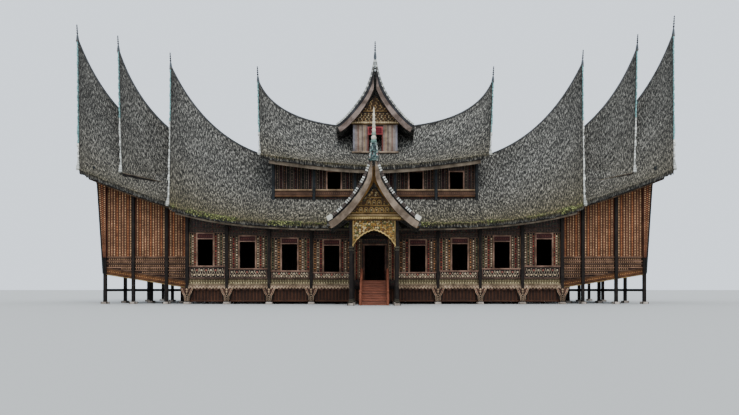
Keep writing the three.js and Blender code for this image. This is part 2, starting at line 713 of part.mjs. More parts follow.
// The model stands on the ground, centred on its own footprint
const bounds = new THREE.Box3().setFromObject(parts);
const centre = bounds.getCenter(new THREE.Vector3());
parts.position.set(-centre.x, -centre.y, -bounds.min.z);

export default parts;
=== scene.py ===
# %% [markdown]
# # A great house with nine roofs and eleven horns
# The model is a rumah gadang, the royal great house of the Minangkabau highlands, at half
# its real size. The frame holds its solids: walls, posts, floors and plain roof shells. This
# script dresses them in thatch, carved boards and trim, and sets up camera and light.
# Every length is written in metres of the full-size house, as a carpenter would measure it,
# and one function turns it into model metres. That keeps each number checkable.

# %% Load the frame and set the scale
import math

import bmesh
import bpy
import numpy as np
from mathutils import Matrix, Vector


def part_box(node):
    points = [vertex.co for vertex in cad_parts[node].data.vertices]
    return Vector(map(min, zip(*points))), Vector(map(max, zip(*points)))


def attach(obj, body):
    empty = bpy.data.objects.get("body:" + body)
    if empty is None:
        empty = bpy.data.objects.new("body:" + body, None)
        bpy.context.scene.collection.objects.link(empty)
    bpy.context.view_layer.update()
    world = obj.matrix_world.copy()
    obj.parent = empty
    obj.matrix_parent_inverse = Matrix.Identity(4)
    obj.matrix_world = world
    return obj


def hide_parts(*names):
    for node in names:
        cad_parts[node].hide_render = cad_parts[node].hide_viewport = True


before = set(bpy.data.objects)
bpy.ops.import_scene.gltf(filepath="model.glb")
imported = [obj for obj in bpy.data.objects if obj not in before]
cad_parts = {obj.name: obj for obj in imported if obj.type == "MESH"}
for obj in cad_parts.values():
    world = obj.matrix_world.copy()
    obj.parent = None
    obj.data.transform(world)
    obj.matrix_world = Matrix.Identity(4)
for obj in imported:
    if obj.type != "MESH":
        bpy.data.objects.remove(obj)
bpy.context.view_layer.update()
HALF_SIZE = 0.5
FRONT_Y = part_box("entrance_wall")[0].y
HALL_DEPTH = 16.0
RIDGE_Y = 8.0
TRIANGLES = {}
CHAMFER = 0.25
GRAIN_SHIFT = 1.37


def to_model(points):
    """Full-size house metres to model metres: halve, then move the front wall to its place."""
    return np.asarray(points, float) * HALF_SIZE + (0.0, FRONT_Y, 0.0)


print("front wall at model y", round(FRONT_Y, 4), "with", len(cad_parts), "nodes")

# %% [markdown]
# ## A small workshop for surfaces
# Most pieces here are a sheet over two parameters, a section carried along a path, or a
# turned profile. They could be modelled by hand, but a house like this repeats each of them
# by the hundred, along curves. So each is an array of points, with the faces worked out from
# the array's shape. A patch is one such closed shape, and a piece is a list of patches.

# %% Patches: points, faces, and the two maps that the finishes read
def grid_quads(rows, columns, around=False):
    """Corner numbers of the faces of a rows x columns grid; around closes each row."""
    last = columns if around else columns - 1
    i, j = np.meshgrid(np.arange(rows - 1), np.arange(last), indexing="ij")
    k = (j + 1) % columns
    corners = [i * columns + j, (i + 1) * columns + j, (i + 1) * columns + k, i * columns + k]
    return np.stack(corners, -1).reshape(-1, 4)


def colour(red, green, blue):
    """An sRGB colour, 0 to 255, as the linear values that shaders take."""
    value = np.array([red, green, blue]) / 255
    linear = np.where(value < 0.04045, value / 12.92, ((value + 0.055) / 1.055) ** 2.4)
    return (*linear.tolist(), 1.0)


def spread(paint, *shape):
    """Paint for every point of an array of this shape. A paint is None for white, three sRGB
    numbers, a linear colour, or one linear colour for each row of the array."""
    if paint is None:
        paint = np.ones(4)
    if np.shape(paint) == (3,):
        paint = colour(*paint)
    rows = np.asarray(paint, float).reshape(-1, *(1 for _ in shape[1:]), 4)
    return np.broadcast_to(rows, (*shape, 4))


def patch(points, faces, uv, paint=None):
    """One closed shape: its points, a list of face arrays, a map in metres and its paint."""
    points = np.asarray(points, float).reshape(-1, 3)
    paint = spread(paint, len(points)) if np.ndim(paint) < 2 else np.reshape(paint, (-1, 4))
    return {"points": points, "faces": faces, "uv": np.reshape(uv, (-1, 2)), "paint": paint}


# %% Reflections: the house is laid out once and mirrored to the other sides
def reflected(patches, in_x=False, in_y=False):
    """The same patches reflected in the plane x = 0, in the plane of the ridge, or in both."""
    made = []
    for one in patches:
        points = one["points"].copy()
        if in_x:
            points[:, 0] = -points[:, 0]
        if in_y:
            points[:, 1] = HALL_DEPTH - points[:, 1]
        made.append({**one, "points": points})
    return made


def both_sides(patches):
    """The patches and their reflection across the middle of the front."""
    return patches + reflected(patches, in_x=True)


def front_and_rear(patches):
    """The patches and their reflection across the ridge."""
    return patches + reflected(patches, in_y=True)


def four_ways(patches):
    """One quarter of a symmetrical house made into all four."""
    return front_and_rear(both_sides(patches))


# %% Turn patches into a piece of the house
def point_outwards(mesh):
    """Turns the faces of closed shapes outwards, since reflecting turns them inside out."""
    work = bmesh.new()
    work.from_mesh(mesh)
    bmesh.ops.recalc_face_normals(work, faces=work.faces)
    work.to_mesh(mesh)
    work.free()


def new_piece(name, patches, finish, replaces=(), smooth=35):
    """Joins patches into one mesh, points its faces outwards and hangs it on the frame."""
    first = np.cumsum([0] + [len(one["points"]) for one in patches])
    faces = [f + first[n] for n, one in enumerate(patches) for f in one["faces"] if len(f)]
    corners = np.concatenate([f.ravel() for f in faces])
    sizes = np.concatenate([np.full(len(f), f.shape[1]) for f in faces])
    mesh = bpy.data.meshes.new(name)
    mesh.vertices.add(first[-1])
    points = np.concatenate([one["points"] for one in patches])
    mesh.vertices.foreach_set("co", to_model(points).ravel())
    mesh.loops.add(len(corners))
    mesh.loops.foreach_set("vertex_index", corners)
    mesh.polygons.add(len(sizes))
    mesh.polygons.foreach_set("loop_start", np.concatenate([[0], np.cumsum(sizes)[:-1]]))
    mesh.update(calc_edges=True)
    metres = mesh.uv_layers.new(name="metres")
    metres.data.foreach_set("uv", np.concatenate([one["uv"] for one in patches])[corners].ravel())
    paint = mesh.color_attributes.new("paint", "FLOAT_COLOR", "POINT")
    paint.data.foreach_set("color", np.concatenate([one["paint"] for one in patches]).ravel())
    point_outwards(mesh)
    mesh.polygons.foreach_set("use_smooth", np.ones(len(mesh.polygons), bool))
    mesh.set_sharp_from_angle(angle=math.radians(smooth))
    mesh.materials.append(finish)
    piece = bpy.data.objects.new(name, mesh)
    bpy.context.scene.collection.objects.link(piece)
    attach(piece, "root")
    if replaces:
        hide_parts(*replaces)
    TRIANGLES[name] = int((sizes - 2).sum())


# %% Small sums on arrays, and the sections of boards
def unit(vectors):
    """Vectors scaled to length one."""
    return vectors / np.maximum(np.linalg.norm(vectors, axis=-1, keepdims=True), 1e-9)


def mix(a, b, share):
    """a at share 0, b at share 1, and a straight line between."""
    return a + (b - a) * share


def between(values):
    """The middles between neighbours in a row of numbers or points."""
    return (values[:-1] + values[1:]) / 2


def lengths(points, axis):
    """Distance along one axis of a grid of points, from its first row or column."""
    steps = np.linalg.norm(np.diff(points, axis=axis), axis=-1)
    start = np.zeros_like(np.take(steps, [0], axis=axis))
    return np.cumsum(np.concatenate([start, steps], axis=axis), axis=axis)


def oblong(near, far, low, high):
    """Section of a board: four (across, out) corners. Limits given as arrays vary along it."""
    near, far, low, high = np.broadcast_arrays(near, far, low, high)
    across, out = np.stack([near, far, far, near], -1), np.stack([low, low, high, high], -1)
    return np.stack([across, out], -1).astype(float)


def plank(width, thick):
    """Section of a plank, with its two outer edges planed off."""
    half, edge = width / 2, min(width, thick) * CHAMFER
    return [(-half, 0), (half, 0), (half, thick - edge), (half - edge, thick),
            (edge - half, thick), (-half, thick - edge)]


# %% Shapes: straight bars
def bars(starts, ends, across, out, section, paint=None):
    """Straight bars, all at once: point = end + a * across + b * out for each section corner
    (a, b). The map runs 0 to 1 across the section and in metres along the bar."""
    starts, ends = np.atleast_2d(starts).astype(float), np.atleast_2d(ends).astype(float)
    starts, ends = np.broadcast_arrays(starts, ends)
    count, section = len(starts), np.asarray(section, float)
    section = np.broadcast_to(section, (count,) + section.shape[-2:])
    across, out = (np.broadcast_to(np.asarray(d, float), (count, 3)) for d in (across, out))
    offset = section[:, :, :1] * across[:, None] + section[:, :, 1:] * out[:, None]
    points = np.stack([starts[:, None] + offset, ends[:, None] + offset], 1)
    corners = section.shape[1]
    low, high = section[..., 0].min(1)[:, None], section[..., 0].max(1)[:, None]
    u = (section[..., 0] - low) / (high - low)
    length = np.linalg.norm(ends - starts, axis=1)[:, None] * np.ones(corners)
    uv = np.stack([np.stack([u, 0 * u], -1), np.stack([u, length], -1)], 1)
    uv = uv + np.arange(count)[:, None, None, None] * (0, GRAIN_SHIFT)
    first = np.arange(count)[:, None] * 2 * corners
    ring = np.arange(corners)
    after = (ring + 1) % corners
    sides = np.stack([ring, after, after + corners, ring + corners], -1)
    sides = (first[:, None] + sides[None]).reshape(-1, 4)
    caps = np.concatenate([first + ring[::-1], first + corners + ring])
    return patch(points, [sides, caps], uv, spread(paint, count, 2, corners))


# %% Shapes: mouldings along a path
def moulding(path, across, out, section, paint=None):
    """A section carried along a path: point = path + a * across + b * out at each station."""
    path, section = np.asarray(path, float), np.asarray(section, float)
    stations, corners = len(path), section.shape[-2]
    section = np.broadcast_to(section, (stations, corners, 2))
    across, out = (np.broadcast_to(np.asarray(d, float), (stations, 3)) for d in (across, out))
    points = path[:, None] + section[:, :, :1] * across[:, None] + section[:, :, 1:] * out[:, None]
    low, high = section[..., 0].min(1)[:, None], section[..., 0].max(1)[:, None]
    along = lengths(path, 0)[:, None] * np.ones(corners)
    uv = np.stack([(section[..., 0] - low) / (high - low), along], -1)
    caps = np.stack([np.arange(corners)[::-1], (stations - 1) * corners + np.arange(corners)])
    faces = [grid_quads(stations, corners, around=True), caps]
    return patch(points, faces, uv, spread(paint, stations, corners))


# %% Shapes: turned work
def turned(profile, foot, lean=0.0, sides=14, paint=None):
    """Turned work: a profile of (radius, height) spun round an upright axis, which then leans
    along x by lean for each metre of height. The first and last points lie on the axis.
    Paint may be one colour, or one for each point of the profile."""
    profile = np.asarray(profile, float)
    angle = np.linspace(0, 2 * math.pi, sides, endpoint=False)
    radius, height = profile[1:-1, :1], profile[1:-1, 1:]
    ring = np.stack([radius * np.cos(angle), radius * np.sin(angle), height + 0 * angle], -1)
    ends = np.array([[0, 0, profile[0, 1]], [0, 0, profile[-1, 1]]])
    points = np.concatenate([ring.reshape(-1, 3), ends])
    points[:, 0] += lean * points[:, 2]
    uv = np.stack([np.arctan2(points[:, 1], points[:, 0]) / 6.283, points[:, 2]], -1)
    rings, last = len(profile) - 2, (len(profile) - 3) * sides
    here, after = np.arange(sides), (np.arange(sides) + 1) % sides
    low = np.stack([after, here, np.full(sides, rings * sides)], -1)
    high = np.stack([last + here, last + after, np.full(sides, rings * sides + 1)], -1)
    faces = [grid_quads(rings, sides, around=True), low, high]
    if np.ndim(paint) == 2:
        paint = np.concatenate([np.repeat(paint[1:-1], sides, axis=0), paint[[0, -1]]])
    return patch(points + np.asarray(foot, float), faces, uv, paint)


# %% Shapes: closed sheets
def closed_sheet(top, bottom, uv, paint=None, under_uv=None, under_paint=None):
    """Two grids of the same rows and columns, joined round their rim into one closed shape.
    The lower grid takes the upper one's map and paint unless it is given its own."""
    rows, columns = top.shape[:2]
    count = rows * columns
    number = np.arange(count).reshape(rows, columns)
    edge = np.concatenate([number[0, :-1], number[:-1, -1], number[-1, :0:-1], number[:0:-1, 0]])
    after = np.roll(edge, -1)
    rim = np.stack([edge, after, after + count, edge + count], -1)
    points = np.concatenate([top.reshape(-1, 3), bottom.reshape(-1, 3)])
    quads = grid_quads(rows, columns)
    maps = np.stack([uv, uv if under_uv is None else under_uv])
    both = (paint, under_paint or paint)
    paints = np.stack([one if np.ndim(one) == 3 else spread(one, rows, columns) for one in both])
    return patch(points, [quads, quads[:, ::-1] + count, rim], maps, paints)


# %% Shapes: carved studs
def studs(centres, across, up, out, radius, pinch=0.5, points=8, relief=0.35, paint=None):
    """Carved rosettes: a star whose corners lie at the radius and at pinch times it by turns,
    raised to a point in the middle. The back is a shallow point that sinks into the board."""
    centres = np.asarray(centres, float).reshape(-1, 3)
    count = len(centres)
    radius = np.broadcast_to(np.asarray(radius, float), (count,))[:, None, None]
    angle = np.arange(points) / points * 2 * math.pi + math.pi / 2
    reach = np.where(np.arange(points) % 2 == 0, 1.0, pinch)
    across, up, out = (np.asarray(d, float) for d in (across, up, out))
    star = (reach * np.cos(angle))[:, None] * across + (reach * np.sin(angle))[:, None] * up
    shape = np.concatenate([star, [out * relief, out * -0.12]])
    corners = centres[:, None] + shape[None] * radius
    ring = np.arange(points)
    after = (ring + 1) % points
    front = np.stack([ring, after, np.full(points, points)], -1)
    back = np.stack([after, ring, np.full(points, points + 1)], -1)
    first = np.arange(count)[:, None, None] * (points + 2)
    faces = (first + np.concatenate([front, back])).reshape(-1, 3)
    return patch(corners, [faces], corners[..., [0, 2]], spread(paint, count, points + 2))


# %% Planks, rails and studs on a wall that faces the front
RIGHT, UP, OUT = (1.0, 0.0, 0.0), (0.0, 0.0, 1.0), (0.0, -1.0, 0.0)
BATTEN = (160, 126, 96)


def row(x, y, z):
    """Points with these coordinates, the scalars repeated for each."""
    return np.stack(np.broadcast_arrays(x, y, z), -1).astype(float)


def upright(x, z0, z1, width, thick, y=0.0, paint=BATTEN):
    """Upright planks, each from z0 to z1."""
    x, z0, z1 = np.broadcast_arrays(np.atleast_1d(np.asarray(x, float)), z0, z1)
    return bars(row(x, y, z0), row(x, y, z1), RIGHT, OUT, plank(width, thick), paint)


def rail(x0, x1, z, height, thick, y=0.0, paint=BATTEN):
    """A level plank, its middle at height z."""
    return bars((x0, y, z), (x1, y, z), UP, OUT, plank(height, thick), paint)


def rails(x0, x1, y, *table):
    """Level planks one over another, each with its height z, breadth, thickness and paint."""
    return [rail(x0, x1, z, breadth, thick, y, paint) for z, breadth, thick, paint in table]


def front_moulding(path, section, paint):
    """A moulding bent along a curve that lies flat on the wall."""
    tangent = unit(np.gradient(path, axis=0))
    return moulding(path, np.cross(tangent, OUT), OUT, section, paint)


def carve(x, y, z, radius, paint, points=8, pinch=0.5, relief=0.35):
    """Carved studs at the points (x, y, z)."""
    return studs(row(x, y, z), RIGHT, UP, OUT, radius, pinch, points, relief, paint)


print("workshop ready")

# %% [markdown]
# ## Finishes
# The real house is weathered: black palm fibre gone grey, carved boards whose red, gold and
# green have darkened, and dark painted posts. Pictures could carry that, but a script that
# stands alone has to grow it from noise. Small pieces carry their colour as paint in their
# points, so that a thousand rosettes share one finish, and thatch reads its own map.

# %% Node helpers
def start_finish(name, roughness, metallic=0.0):
    """A new material with its tree and its shader."""
    material = bpy.data.materials.new(name)
    material.use_nodes = True
    shader = material.node_tree.nodes["Principled BSDF"]
    shader.inputs["Roughness"].default_value = roughness
    shader.inputs["Metallic"].default_value = metallic
    return material, material.node_tree, shader


def node(tree, kind, inputs, output=0, **settings):
    """Adds a node and returns one of its outputs. An input is a value or another output."""
    made = tree.nodes.new(kind)
    for key, value in settings.items():
        setattr(made, key, value)
    for key, value in inputs.items():
        if isinstance(value, bpy.types.NodeSocket):
            tree.links.new(value, made.inputs[key])
        else:
            made.inputs[key].default_value = value
    return made.outputs[output]


def stretched(tree, vector, scale):
    """The coordinates multiplied by a scale along each axis."""
    return node(tree, "ShaderNodeMapping", {"Vector": vector, "Scale": scale})


def noise(tree, vector, scale=1.0, detail=3.0, rough=0.6, warp=0.0):
    """Cloudy noise from 0 to 1."""
    inputs = {"Vector": vector, "Scale": scale, "Detail": detail, "Roughness": rough, "Distortion": warp}
    return node(tree, "ShaderNodeTexNoise", inputs)


# %% Node helpers: sums and colours
def calc(tree, operation, a, b=0.0, clamp=False):
    """One sum on two numbers."""
    return node(tree, "ShaderNodeMath", {0: a, 1: b}, operation=operation, use_clamp=clamp)


def blend(tree, factor, a, b, mode="MIX"):
    """Two colours mixed by a factor."""
    inputs = {0: factor, 6: a, 7: b}
    return node(tree, "ShaderNodeMix", inputs, output=2, data_type="RGBA", blend_type=mode)


def times(tree, a, b):
    """One colour multiplied by another."""
    return blend(tree, 1.0, a, b, "MULTIPLY")


def ramp(tree, value, stops, steps=False):
    """Colours at places from 0 to 1, blended between, or in steps."""
    made = tree.nodes.new("ShaderNodeValToRGB")
    tree.links.new(value, made.inputs[0])
    made.color_ramp.interpolation = "CONSTANT" if steps else "LINEAR"
    elements = made.color_ramp.elements
    for element, (spot, shade) in zip(elements, (stops[0], stops[-1])):
        element.position, element.color = spot, shade
    for spot, shade in stops[1:-1]:
        elements.new(spot).color = shade
    return made.outputs[0]


def grey(value):
    """A neutral shade for ramps that carry a number."""
    return (value, value, value, 1.0)


def tones(tree, value, *stops):
    """A ramp through greys, each stop a place and a brightness."""
    return ramp(tree, value, [(spot, grey(brightness)) for spot, brightness in stops])


def emboss(tree, shader, height, distance):
    """Height from 0 to 1 becomes relief of that depth in model metres."""
    normal = node(tree, "ShaderNodeBump", {"Height": height, "Distance": distance, "Strength": 1.0})
    tree.links.new(normal, shader.inputs["Normal"])


# %% What the finishes read: the piece's map, its paint, and its place
def metres_map(tree):
    """The piece's own map: across and along, in full-size metres."""
    return node(tree, "ShaderNodeUVMap", {}, uv_map="metres")


def paint_colour(tree):
    """The colour painted into the piece's points."""
    return node(tree, "ShaderNodeAttribute", {}, attribute_name="paint")


def place(tree):
    """Object coordinates, in model metres."""
    return node(tree, "ShaderNodeTexCoord", {}, output=3)


def wall_place(tree):
    """Coordinates flat on any upright wall: along it, and up. On a wall that faces front x
    varies, on an end wall y does, and their sum runs along both."""
    parts = tree.nodes.new("ShaderNodeSeparateXYZ")
    tree.links.new(place(tree), parts.inputs[0])
    along = calc(tree, "ADD", parts.outputs[0], parts.outputs[1])
    up = parts.outputs[2]
    return node(tree, "ShaderNodeCombineXYZ", {0: along, 1: up, 2: 0.0}), along, up


# %% Thatch: palm fibre, grey with age, lichen and moss
def thatch_finish(name, dark, middle, pale, moss):
    """Short strokes down the slope in three greys. The paint's red brings moss and brown, and its green is
    painted shade that darkens the thatch towards the horns, on its cut edge and underneath."""
    material, tree, shader = start_finish(name, 0.95)
    where = metres_map(tree)
    strokes = noise(tree, stretched(tree, where, (7.4, 2.0, 1)), detail=3, rough=0.7, warp=0.25)
    fibres = noise(tree, stretched(tree, where, (34, 5, 1)), detail=3)
    broad = noise(tree, stretched(tree, where, (0.45, 0.3, 1)), detail=3)
    mottle = calc(tree, "ADD", calc(tree, "MULTIPLY", strokes, 0.7), calc(tree, "MULTIPLY", fibres, 0.3))
    greys = ramp(tree, mottle, [(0.405, dark), (0.48, middle), (0.52, middle), (0.58, pale)])
    shade = tones(tree, broad, (0.3, 0.7), (0.7, 1.2))
    greys = times(tree, greys, shade)
    split = tree.nodes.new("ShaderNodeSeparateColor")
    tree.links.new(paint_colour(tree), split.inputs[0])
    wet, painted_shade = split.outputs[0], split.outputs[1]
    brown = times(tree, greys, colour(208, 190, 152))
    earthy = blend(tree, calc(tree, "MULTIPLY", wet, 1.7, clamp=True), greys, brown)
    cushions = noise(tree, stretched(tree, where, (5.5, 6.5, 1)), detail=4, rough=0.85)
    reach = calc(tree, "ADD", cushions, calc(tree, "MULTIPLY", wet, 0.17))
    grown = calc(tree, "MULTIPLY", calc(tree, "SUBTRACT", reach, 0.64), 10.0, clamp=True)
    speckle = noise(tree, stretched(tree, where, (11, 9, 1)), detail=2)
    mosses = ramp(tree, speckle, [(0.38, (*np.multiply(moss[:3], 0.5), 1)), (0.48, moss),
                                  (0.6, colour(160, 172, 88))])
    mossy = blend(tree, calc(tree, "MULTIPLY", grown, wet, clamp=True), earthy, mosses)
    # Painted shade: the green of the paint darkens the thatch at the horns, on its cut edge and underneath.
    shadow = calc(tree, "MULTIPLY", painted_shade, 0.8)
    final = blend(tree, shadow, mossy, times(tree, mossy, grey(0.26)))
    tree.links.new(final, shader.inputs["Base Color"])
    emboss(tree, shader, mottle, 0.05)
    shader.inputs["Specular IOR Level"].default_value = 0.2
    return material


THATCH_FINISH = thatch_finish("grey_thatch", colour(14, 14, 14), colour(72, 71, 69),
                              colour(178, 176, 168), colour(104, 116, 48))

# %% [markdown]
# ## Painted and weathered wood
# One finish reads the paint in the points and adds grain, fading and grime. It serves every
# small board, so their colours stay together as they would if one workshop had painted them.

# %% Wood finishes for the dressed pieces
def painted_finish(name, roughness, grime=0.45, metallic=0.0):
    """The paint of the points, streaked along the piece's map and dulled in cloudy patches."""
    material, tree, shader = start_finish(name, roughness, metallic)
    where = metres_map(tree)
    grain = noise(tree, stretched(tree, where, (5, 1.4, 1)), detail=4, rough=0.7)
    clouds = noise(tree, place(tree), scale=2.2, detail=4)
    streaks = tones(tree, grain, (0.3, 0.7), (0.7, 1.18))
    worn = times(tree, paint_colour(tree), streaks)
    dirt = calc(tree, "MULTIPLY", tones(tree, clouds, (0.4, 1.0), (0.62, 0.0)), grime)
    dull = blend(tree, dirt, worn, times(tree, worn, colour(120, 110, 98)))
    tree.links.new(dull, shader.inputs["Base Color"])
    emboss(tree, shader, grain, 0.006)
    shader.inputs["Specular IOR Level"].default_value = 0.3
    return material


PAINTED_WOOD = painted_finish("painted_carving", 0.75)
WEATHERED_BOARD = painted_finish("weathered_board", 0.88, grime=0.7)
METAL_TRIM = painted_finish("horn_trim", 0.45, grime=0.35, metallic=0.35)


def moss_finish():
    """Moss: the paint's green, broken up by a fine speckle of tufts that also raises it."""
    material, tree, shader = start_finish("eave_moss", 1.0)
    tufts = noise(tree, place(tree), scale=42.0, detail=5, rough=0.7)
    light = tones(tree, tufts, (0.36, 0.2), (0.5, 0.85), (0.62, 1.6))
    tree.links.new(times(tree, paint_colour(tree), light), shader.inputs["Base Color"])
    emboss(tree, shader, tufts, 0.03)
    return material


EAVE_MOSS = moss_finish()

# %% Finishes for the solids of the frame
def carved_finish(name, ground, inks, strip=0.14, cell=15.0, show=0.6):
    """A board carved all over: upright strips, each filled with small flowers. The flowers
    are the cells of a Voronoi pattern, and each cell takes one of the inks."""
    material, tree, shader = start_finish(name, 0.82)
    ground, inks = colour(*ground), [colour(*ink) for ink in inks]
    flat, along, _ = wall_place(tree)
    saw = calc(tree, "FRACT", calc(tree, "DIVIDE", along, strip))
    lath = tones(tree, saw, (0.0, 1.0), (0.1, 0.0), (0.9, 0.0), (1.0, 1.0))
    flowers = tree.nodes.new("ShaderNodeTexVoronoi")
    flowers.inputs["Scale"].default_value = cell
    tree.links.new(flat, flowers.inputs["Vector"])
    petal = tones(tree, flowers.outputs["Distance"], (0.25, show), (0.48, 0.0))
    pick = tree.nodes.new("ShaderNodeSeparateColor")
    tree.links.new(flowers.outputs["Color"], pick.inputs[0])
    stops = [(number / len(inks), ink) for number, ink in enumerate(inks)]
    ink = ramp(tree, pick.outputs[0], stops, steps=True)
    worn = noise(tree, flat, scale=9.0, detail=4)
    shaded = times(tree, ground, tones(tree, worn, (0.3, 0.6), (0.7, 1.3)))
    carved = blend(tree, petal, shaded, ink)
    final = blend(tree, calc(tree, "MULTIPLY", lath, 0.5), carved, inks[0])
    tree.links.new(final, shader.inputs["Base Color"])
    emboss(tree, shader, calc(tree, "ADD", petal, calc(tree, "MULTIPLY", lath, 0.6)), 0.012)
    return material


# %% Finishes for planks and posts
def plank_finish(name, base, roughness, board=0.11, axis=0):
    """Boards side by side with dark joints. axis 0 counts them along the wall, 2 upwards."""
    material, tree, shader = start_finish(name, roughness)
    flat, along, up = wall_place(tree)
    lane = along if axis == 0 else up
    share = calc(tree, "DIVIDE", lane, board)
    saw = calc(tree, "FRACT", share)
    joint = tones(tree, saw, (0.0, 0.25), (0.06, 1.0), (0.94, 1.0), (1.0, 0.25))
    number = node(tree, "ShaderNodeTexWhiteNoise", {"W": calc(tree, "FLOOR", share)}, noise_dimensions="1D")
    scale = (14, 2, 14) if axis == 0 else (2, 14, 2)
    grain = noise(tree, stretched(tree, flat, scale), detail=5, rough=0.65)
    tone = times(tree, base, tones(tree, grain, (0.3, 0.62), (0.72, 1.25)))
    tone = times(tree, tone, tones(tree, number, (0.0, 0.75), (1.0, 1.2)))
    tone = times(tree, tone, joint)
    tree.links.new(tone, shader.inputs["Base Color"])
    emboss(tree, shader, calc(tree, "ADD", joint, calc(tree, "MULTIPLY", grain, 0.3)), 0.008)
    return material


def timber_finish(name, base, pale, roughness):
    """Painted timber: long grain up the post, rubbed paler in patches."""
    material, tree, shader = start_finish(name, roughness)
    grain = noise(tree, stretched(tree, place(tree), (22, 22, 2.5)), detail=4, rough=0.7)
    rubbed = noise(tree, place(tree), scale=3.5, detail=5)
    tone = times(tree, base, tones(tree, grain, (0.3, 0.65), (0.7, 1.3)))
    tone = blend(tree, tones(tree, rubbed, (0.5, 0.0), (0.72, 0.6)), tone, pale)
    tree.links.new(tone, shader.inputs["Base Color"])
    shader.inputs["Specular IOR Level"].default_value = 0.25
    emboss(tree, shader, grain, 0.004)
    return material


# %% Give the solids their finishes
CREAM, GOLD = (196, 176, 138), (176, 134, 62)
RED, GREEN = (140, 48, 38), (70, 92, 56)
HALL_CARVING = carved_finish("hall_carving", (36, 26, 23), [(96, 78, 64), RED, (88, 68, 44), GREEN],
                             show=0.4)
WING_CARVING = carved_finish("wing_carving", (38, 22, 15), [(104, 66, 42), (72, 42, 30)], strip=0.1325)
GOLD_CARVING = carved_finish("gold_carving", (70, 48, 26), [(196, 164, 96), GOLD, CREAM, GREEN],
                             strip=50.0, cell=11.0)
DARK_POST = timber_finish("dark_post", colour(23, 17, 13), colour(50, 42, 35), 0.8)
FLOOR_PLANKS = plank_finish("floor_planks", colour(92, 70, 52), 0.8, board=0.1)
MAROON_PLANKS = plank_finish("maroon_screen", colour(52, 30, 22), 0.85, board=0.07)
RED_STAIR = plank_finish("red_stair", colour(122, 70, 50), 0.7, board=0.11, axis=2)


def assign(finish, *names):
    """Gives the solids of these names a finish."""
    for name in names:
        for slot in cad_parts[name].material_slots:
            slot.material = finish


SIDES = {-1: "left", 1: "right"}
ENDS = {-1: "front", 1: "rear"}
WING_WALLS = ("wing_front_wall", "wing_rear_wall", "end_wall", "middle_gable", "inner_gable")
assign(HALL_CARVING, "front_wall_left", "front_wall_right", "entrance_wall", "rear_wall")
for end in ENDS.values():
    assign(HALL_CARVING, f"upper_{end}_wall", f"top_room_{end}_walls")
for side_name in SIDES.values():
    assign(WING_CARVING, *(f"{side_name}_{part}" for part in WING_WALLS), f"upper_{side_name}_gable")
    assign(DARK_POST, f"{side_name}_wing_frame")
assign(DARK_POST, "front_posts", "rear_posts", "front_columns", "rear_columns", "porch_frame")
assign(MAROON_PLANKS, "front_screen", "rear_screen")
assign(FLOOR_PLANKS, "hall_floor", "upper_floor")
assign(GOLD_CARVING, "porch_gable")
assign(RED_STAIR, "porch_stair")
print("finishes", len(bpy.data.materials))

# %% [markdown]
# ## Nine saddle roofs
# A rumah gadang roof is a saddle: the ridge sweeps up to a horn at each gable, the eave
# rises less, and the slope between them hangs hollow. One formula gives them all. The share
# v runs along the roof, and t across it, from -1 at the front eave over 0 at the ridge to 1.
# Height is eave + (ridge - eave) * (1 - |t|) ^ hollow. The small gabled roofs add a spike,
# height * v ^ 6 * (1 - |t|) ^ sharpness, where their thatch shoots up to its finial.

# %% The saddle as a formula
THATCH = 0.42
MAIN_HOLLOW, UPPER_HOLLOW, SMALL_HOLLOW = 1.35, 1.6, 1.25


def bezier(points, v):
    """Curve through three [along, up] points: (1-v)^2 start + 2v(1-v) control + v^2 end."""
    start, control, end = (np.asarray(p, float) for p in points)
    v = np.asarray(v, float)[..., None]
    curve = (1 - v) ** 2 * start + 2 * v * (1 - v) * control + v ** 2 * end
    return curve[..., 0], curve[..., 1]


def saddle(ridge, eave, half, hollow, locate, spike=(0.0, 1.0)):
    """The roof surface as a function of v and t, whole arrays at once."""
    def surface(v, t):
        v, t = np.broadcast_arrays(np.asarray(v, float), np.asarray(t, float))
        share, way, slope = np.abs(v), np.where(v < 0, -1.0, 1.0), np.abs(t)
        ridge_along, ridge_up = bezier(ridge, share)
        eave_along, eave_up = eave(share)
        rise = np.maximum(0, 1 - slope)
        up = eave_up + (ridge_up - eave_up) * rise ** hollow + spike[0] * share ** 6 * rise ** spike[1]
        return locate(mix(ridge_along, eave_along, slope) * way, t * half(share), up)
    return surface


# %% Where a roof stands, and how deep its thatch hangs
def along_x(side):
    """Places a roof whose ridge runs along the house, towards one side."""
    return lambda along, across, up: np.stack([side * along, RIDGE_Y + across, up], -1)


def along_y(start, way):
    """Places a small roof whose ridge runs towards the front."""
    return lambda along, across, up: np.stack([across, start + way * along, up], -1)


def lowered(points, drop):
    """The points moved straight down."""
    return points - np.stack([0 * drop, 0 * drop, drop + 0 * points[..., 0]], -1)


def deepening(at_ridge, at_eave):
    """Upright depth of the thatch: even along the roof, deeper at a horn, most on its ridge."""
    return lambda v, t: mix(THATCH, mix(at_ridge, at_eave, np.abs(t) ** 0.8), np.abs(v) ** 4)


horn_drop = deepening(1.5, THATCH)
barge_drop = deepening(1.3, 0.75)


# %% The forms of the horned roofs, in metres [along the ridge, up]
def lower_eave(x):
    """Height of the long eave: it lifts towards the ends of the hall."""
    return 7.54 + 1.75 * (np.abs(x) / 19.2) ** 3.5


UPPER_HALF = 10.3
INNER_RIDGE_START = 15.6
HALL_EAVE_HALF = RIDGE_Y + 1.5
WING_EAVE_HALF = RIDGE_Y - 0.8 + 1.5


def horned(side, ridge, right_tip, right_eave, eave, half):
    """One horned roof. Its makers took the right-hand ones a little further and higher."""
    tip = np.add(ridge[2], right_tip) if side > 0 else np.array(ridge[2])
    kick = right_eave if side > 0 else 0.0

    def placed_eave(v):
        along, up = eave(v)
        return along + kick * v, up
    surface = saddle([ridge[0], ridge[1], tip], placed_eave, half, MAIN_HOLLOW, along_x(side))
    return surface, tip


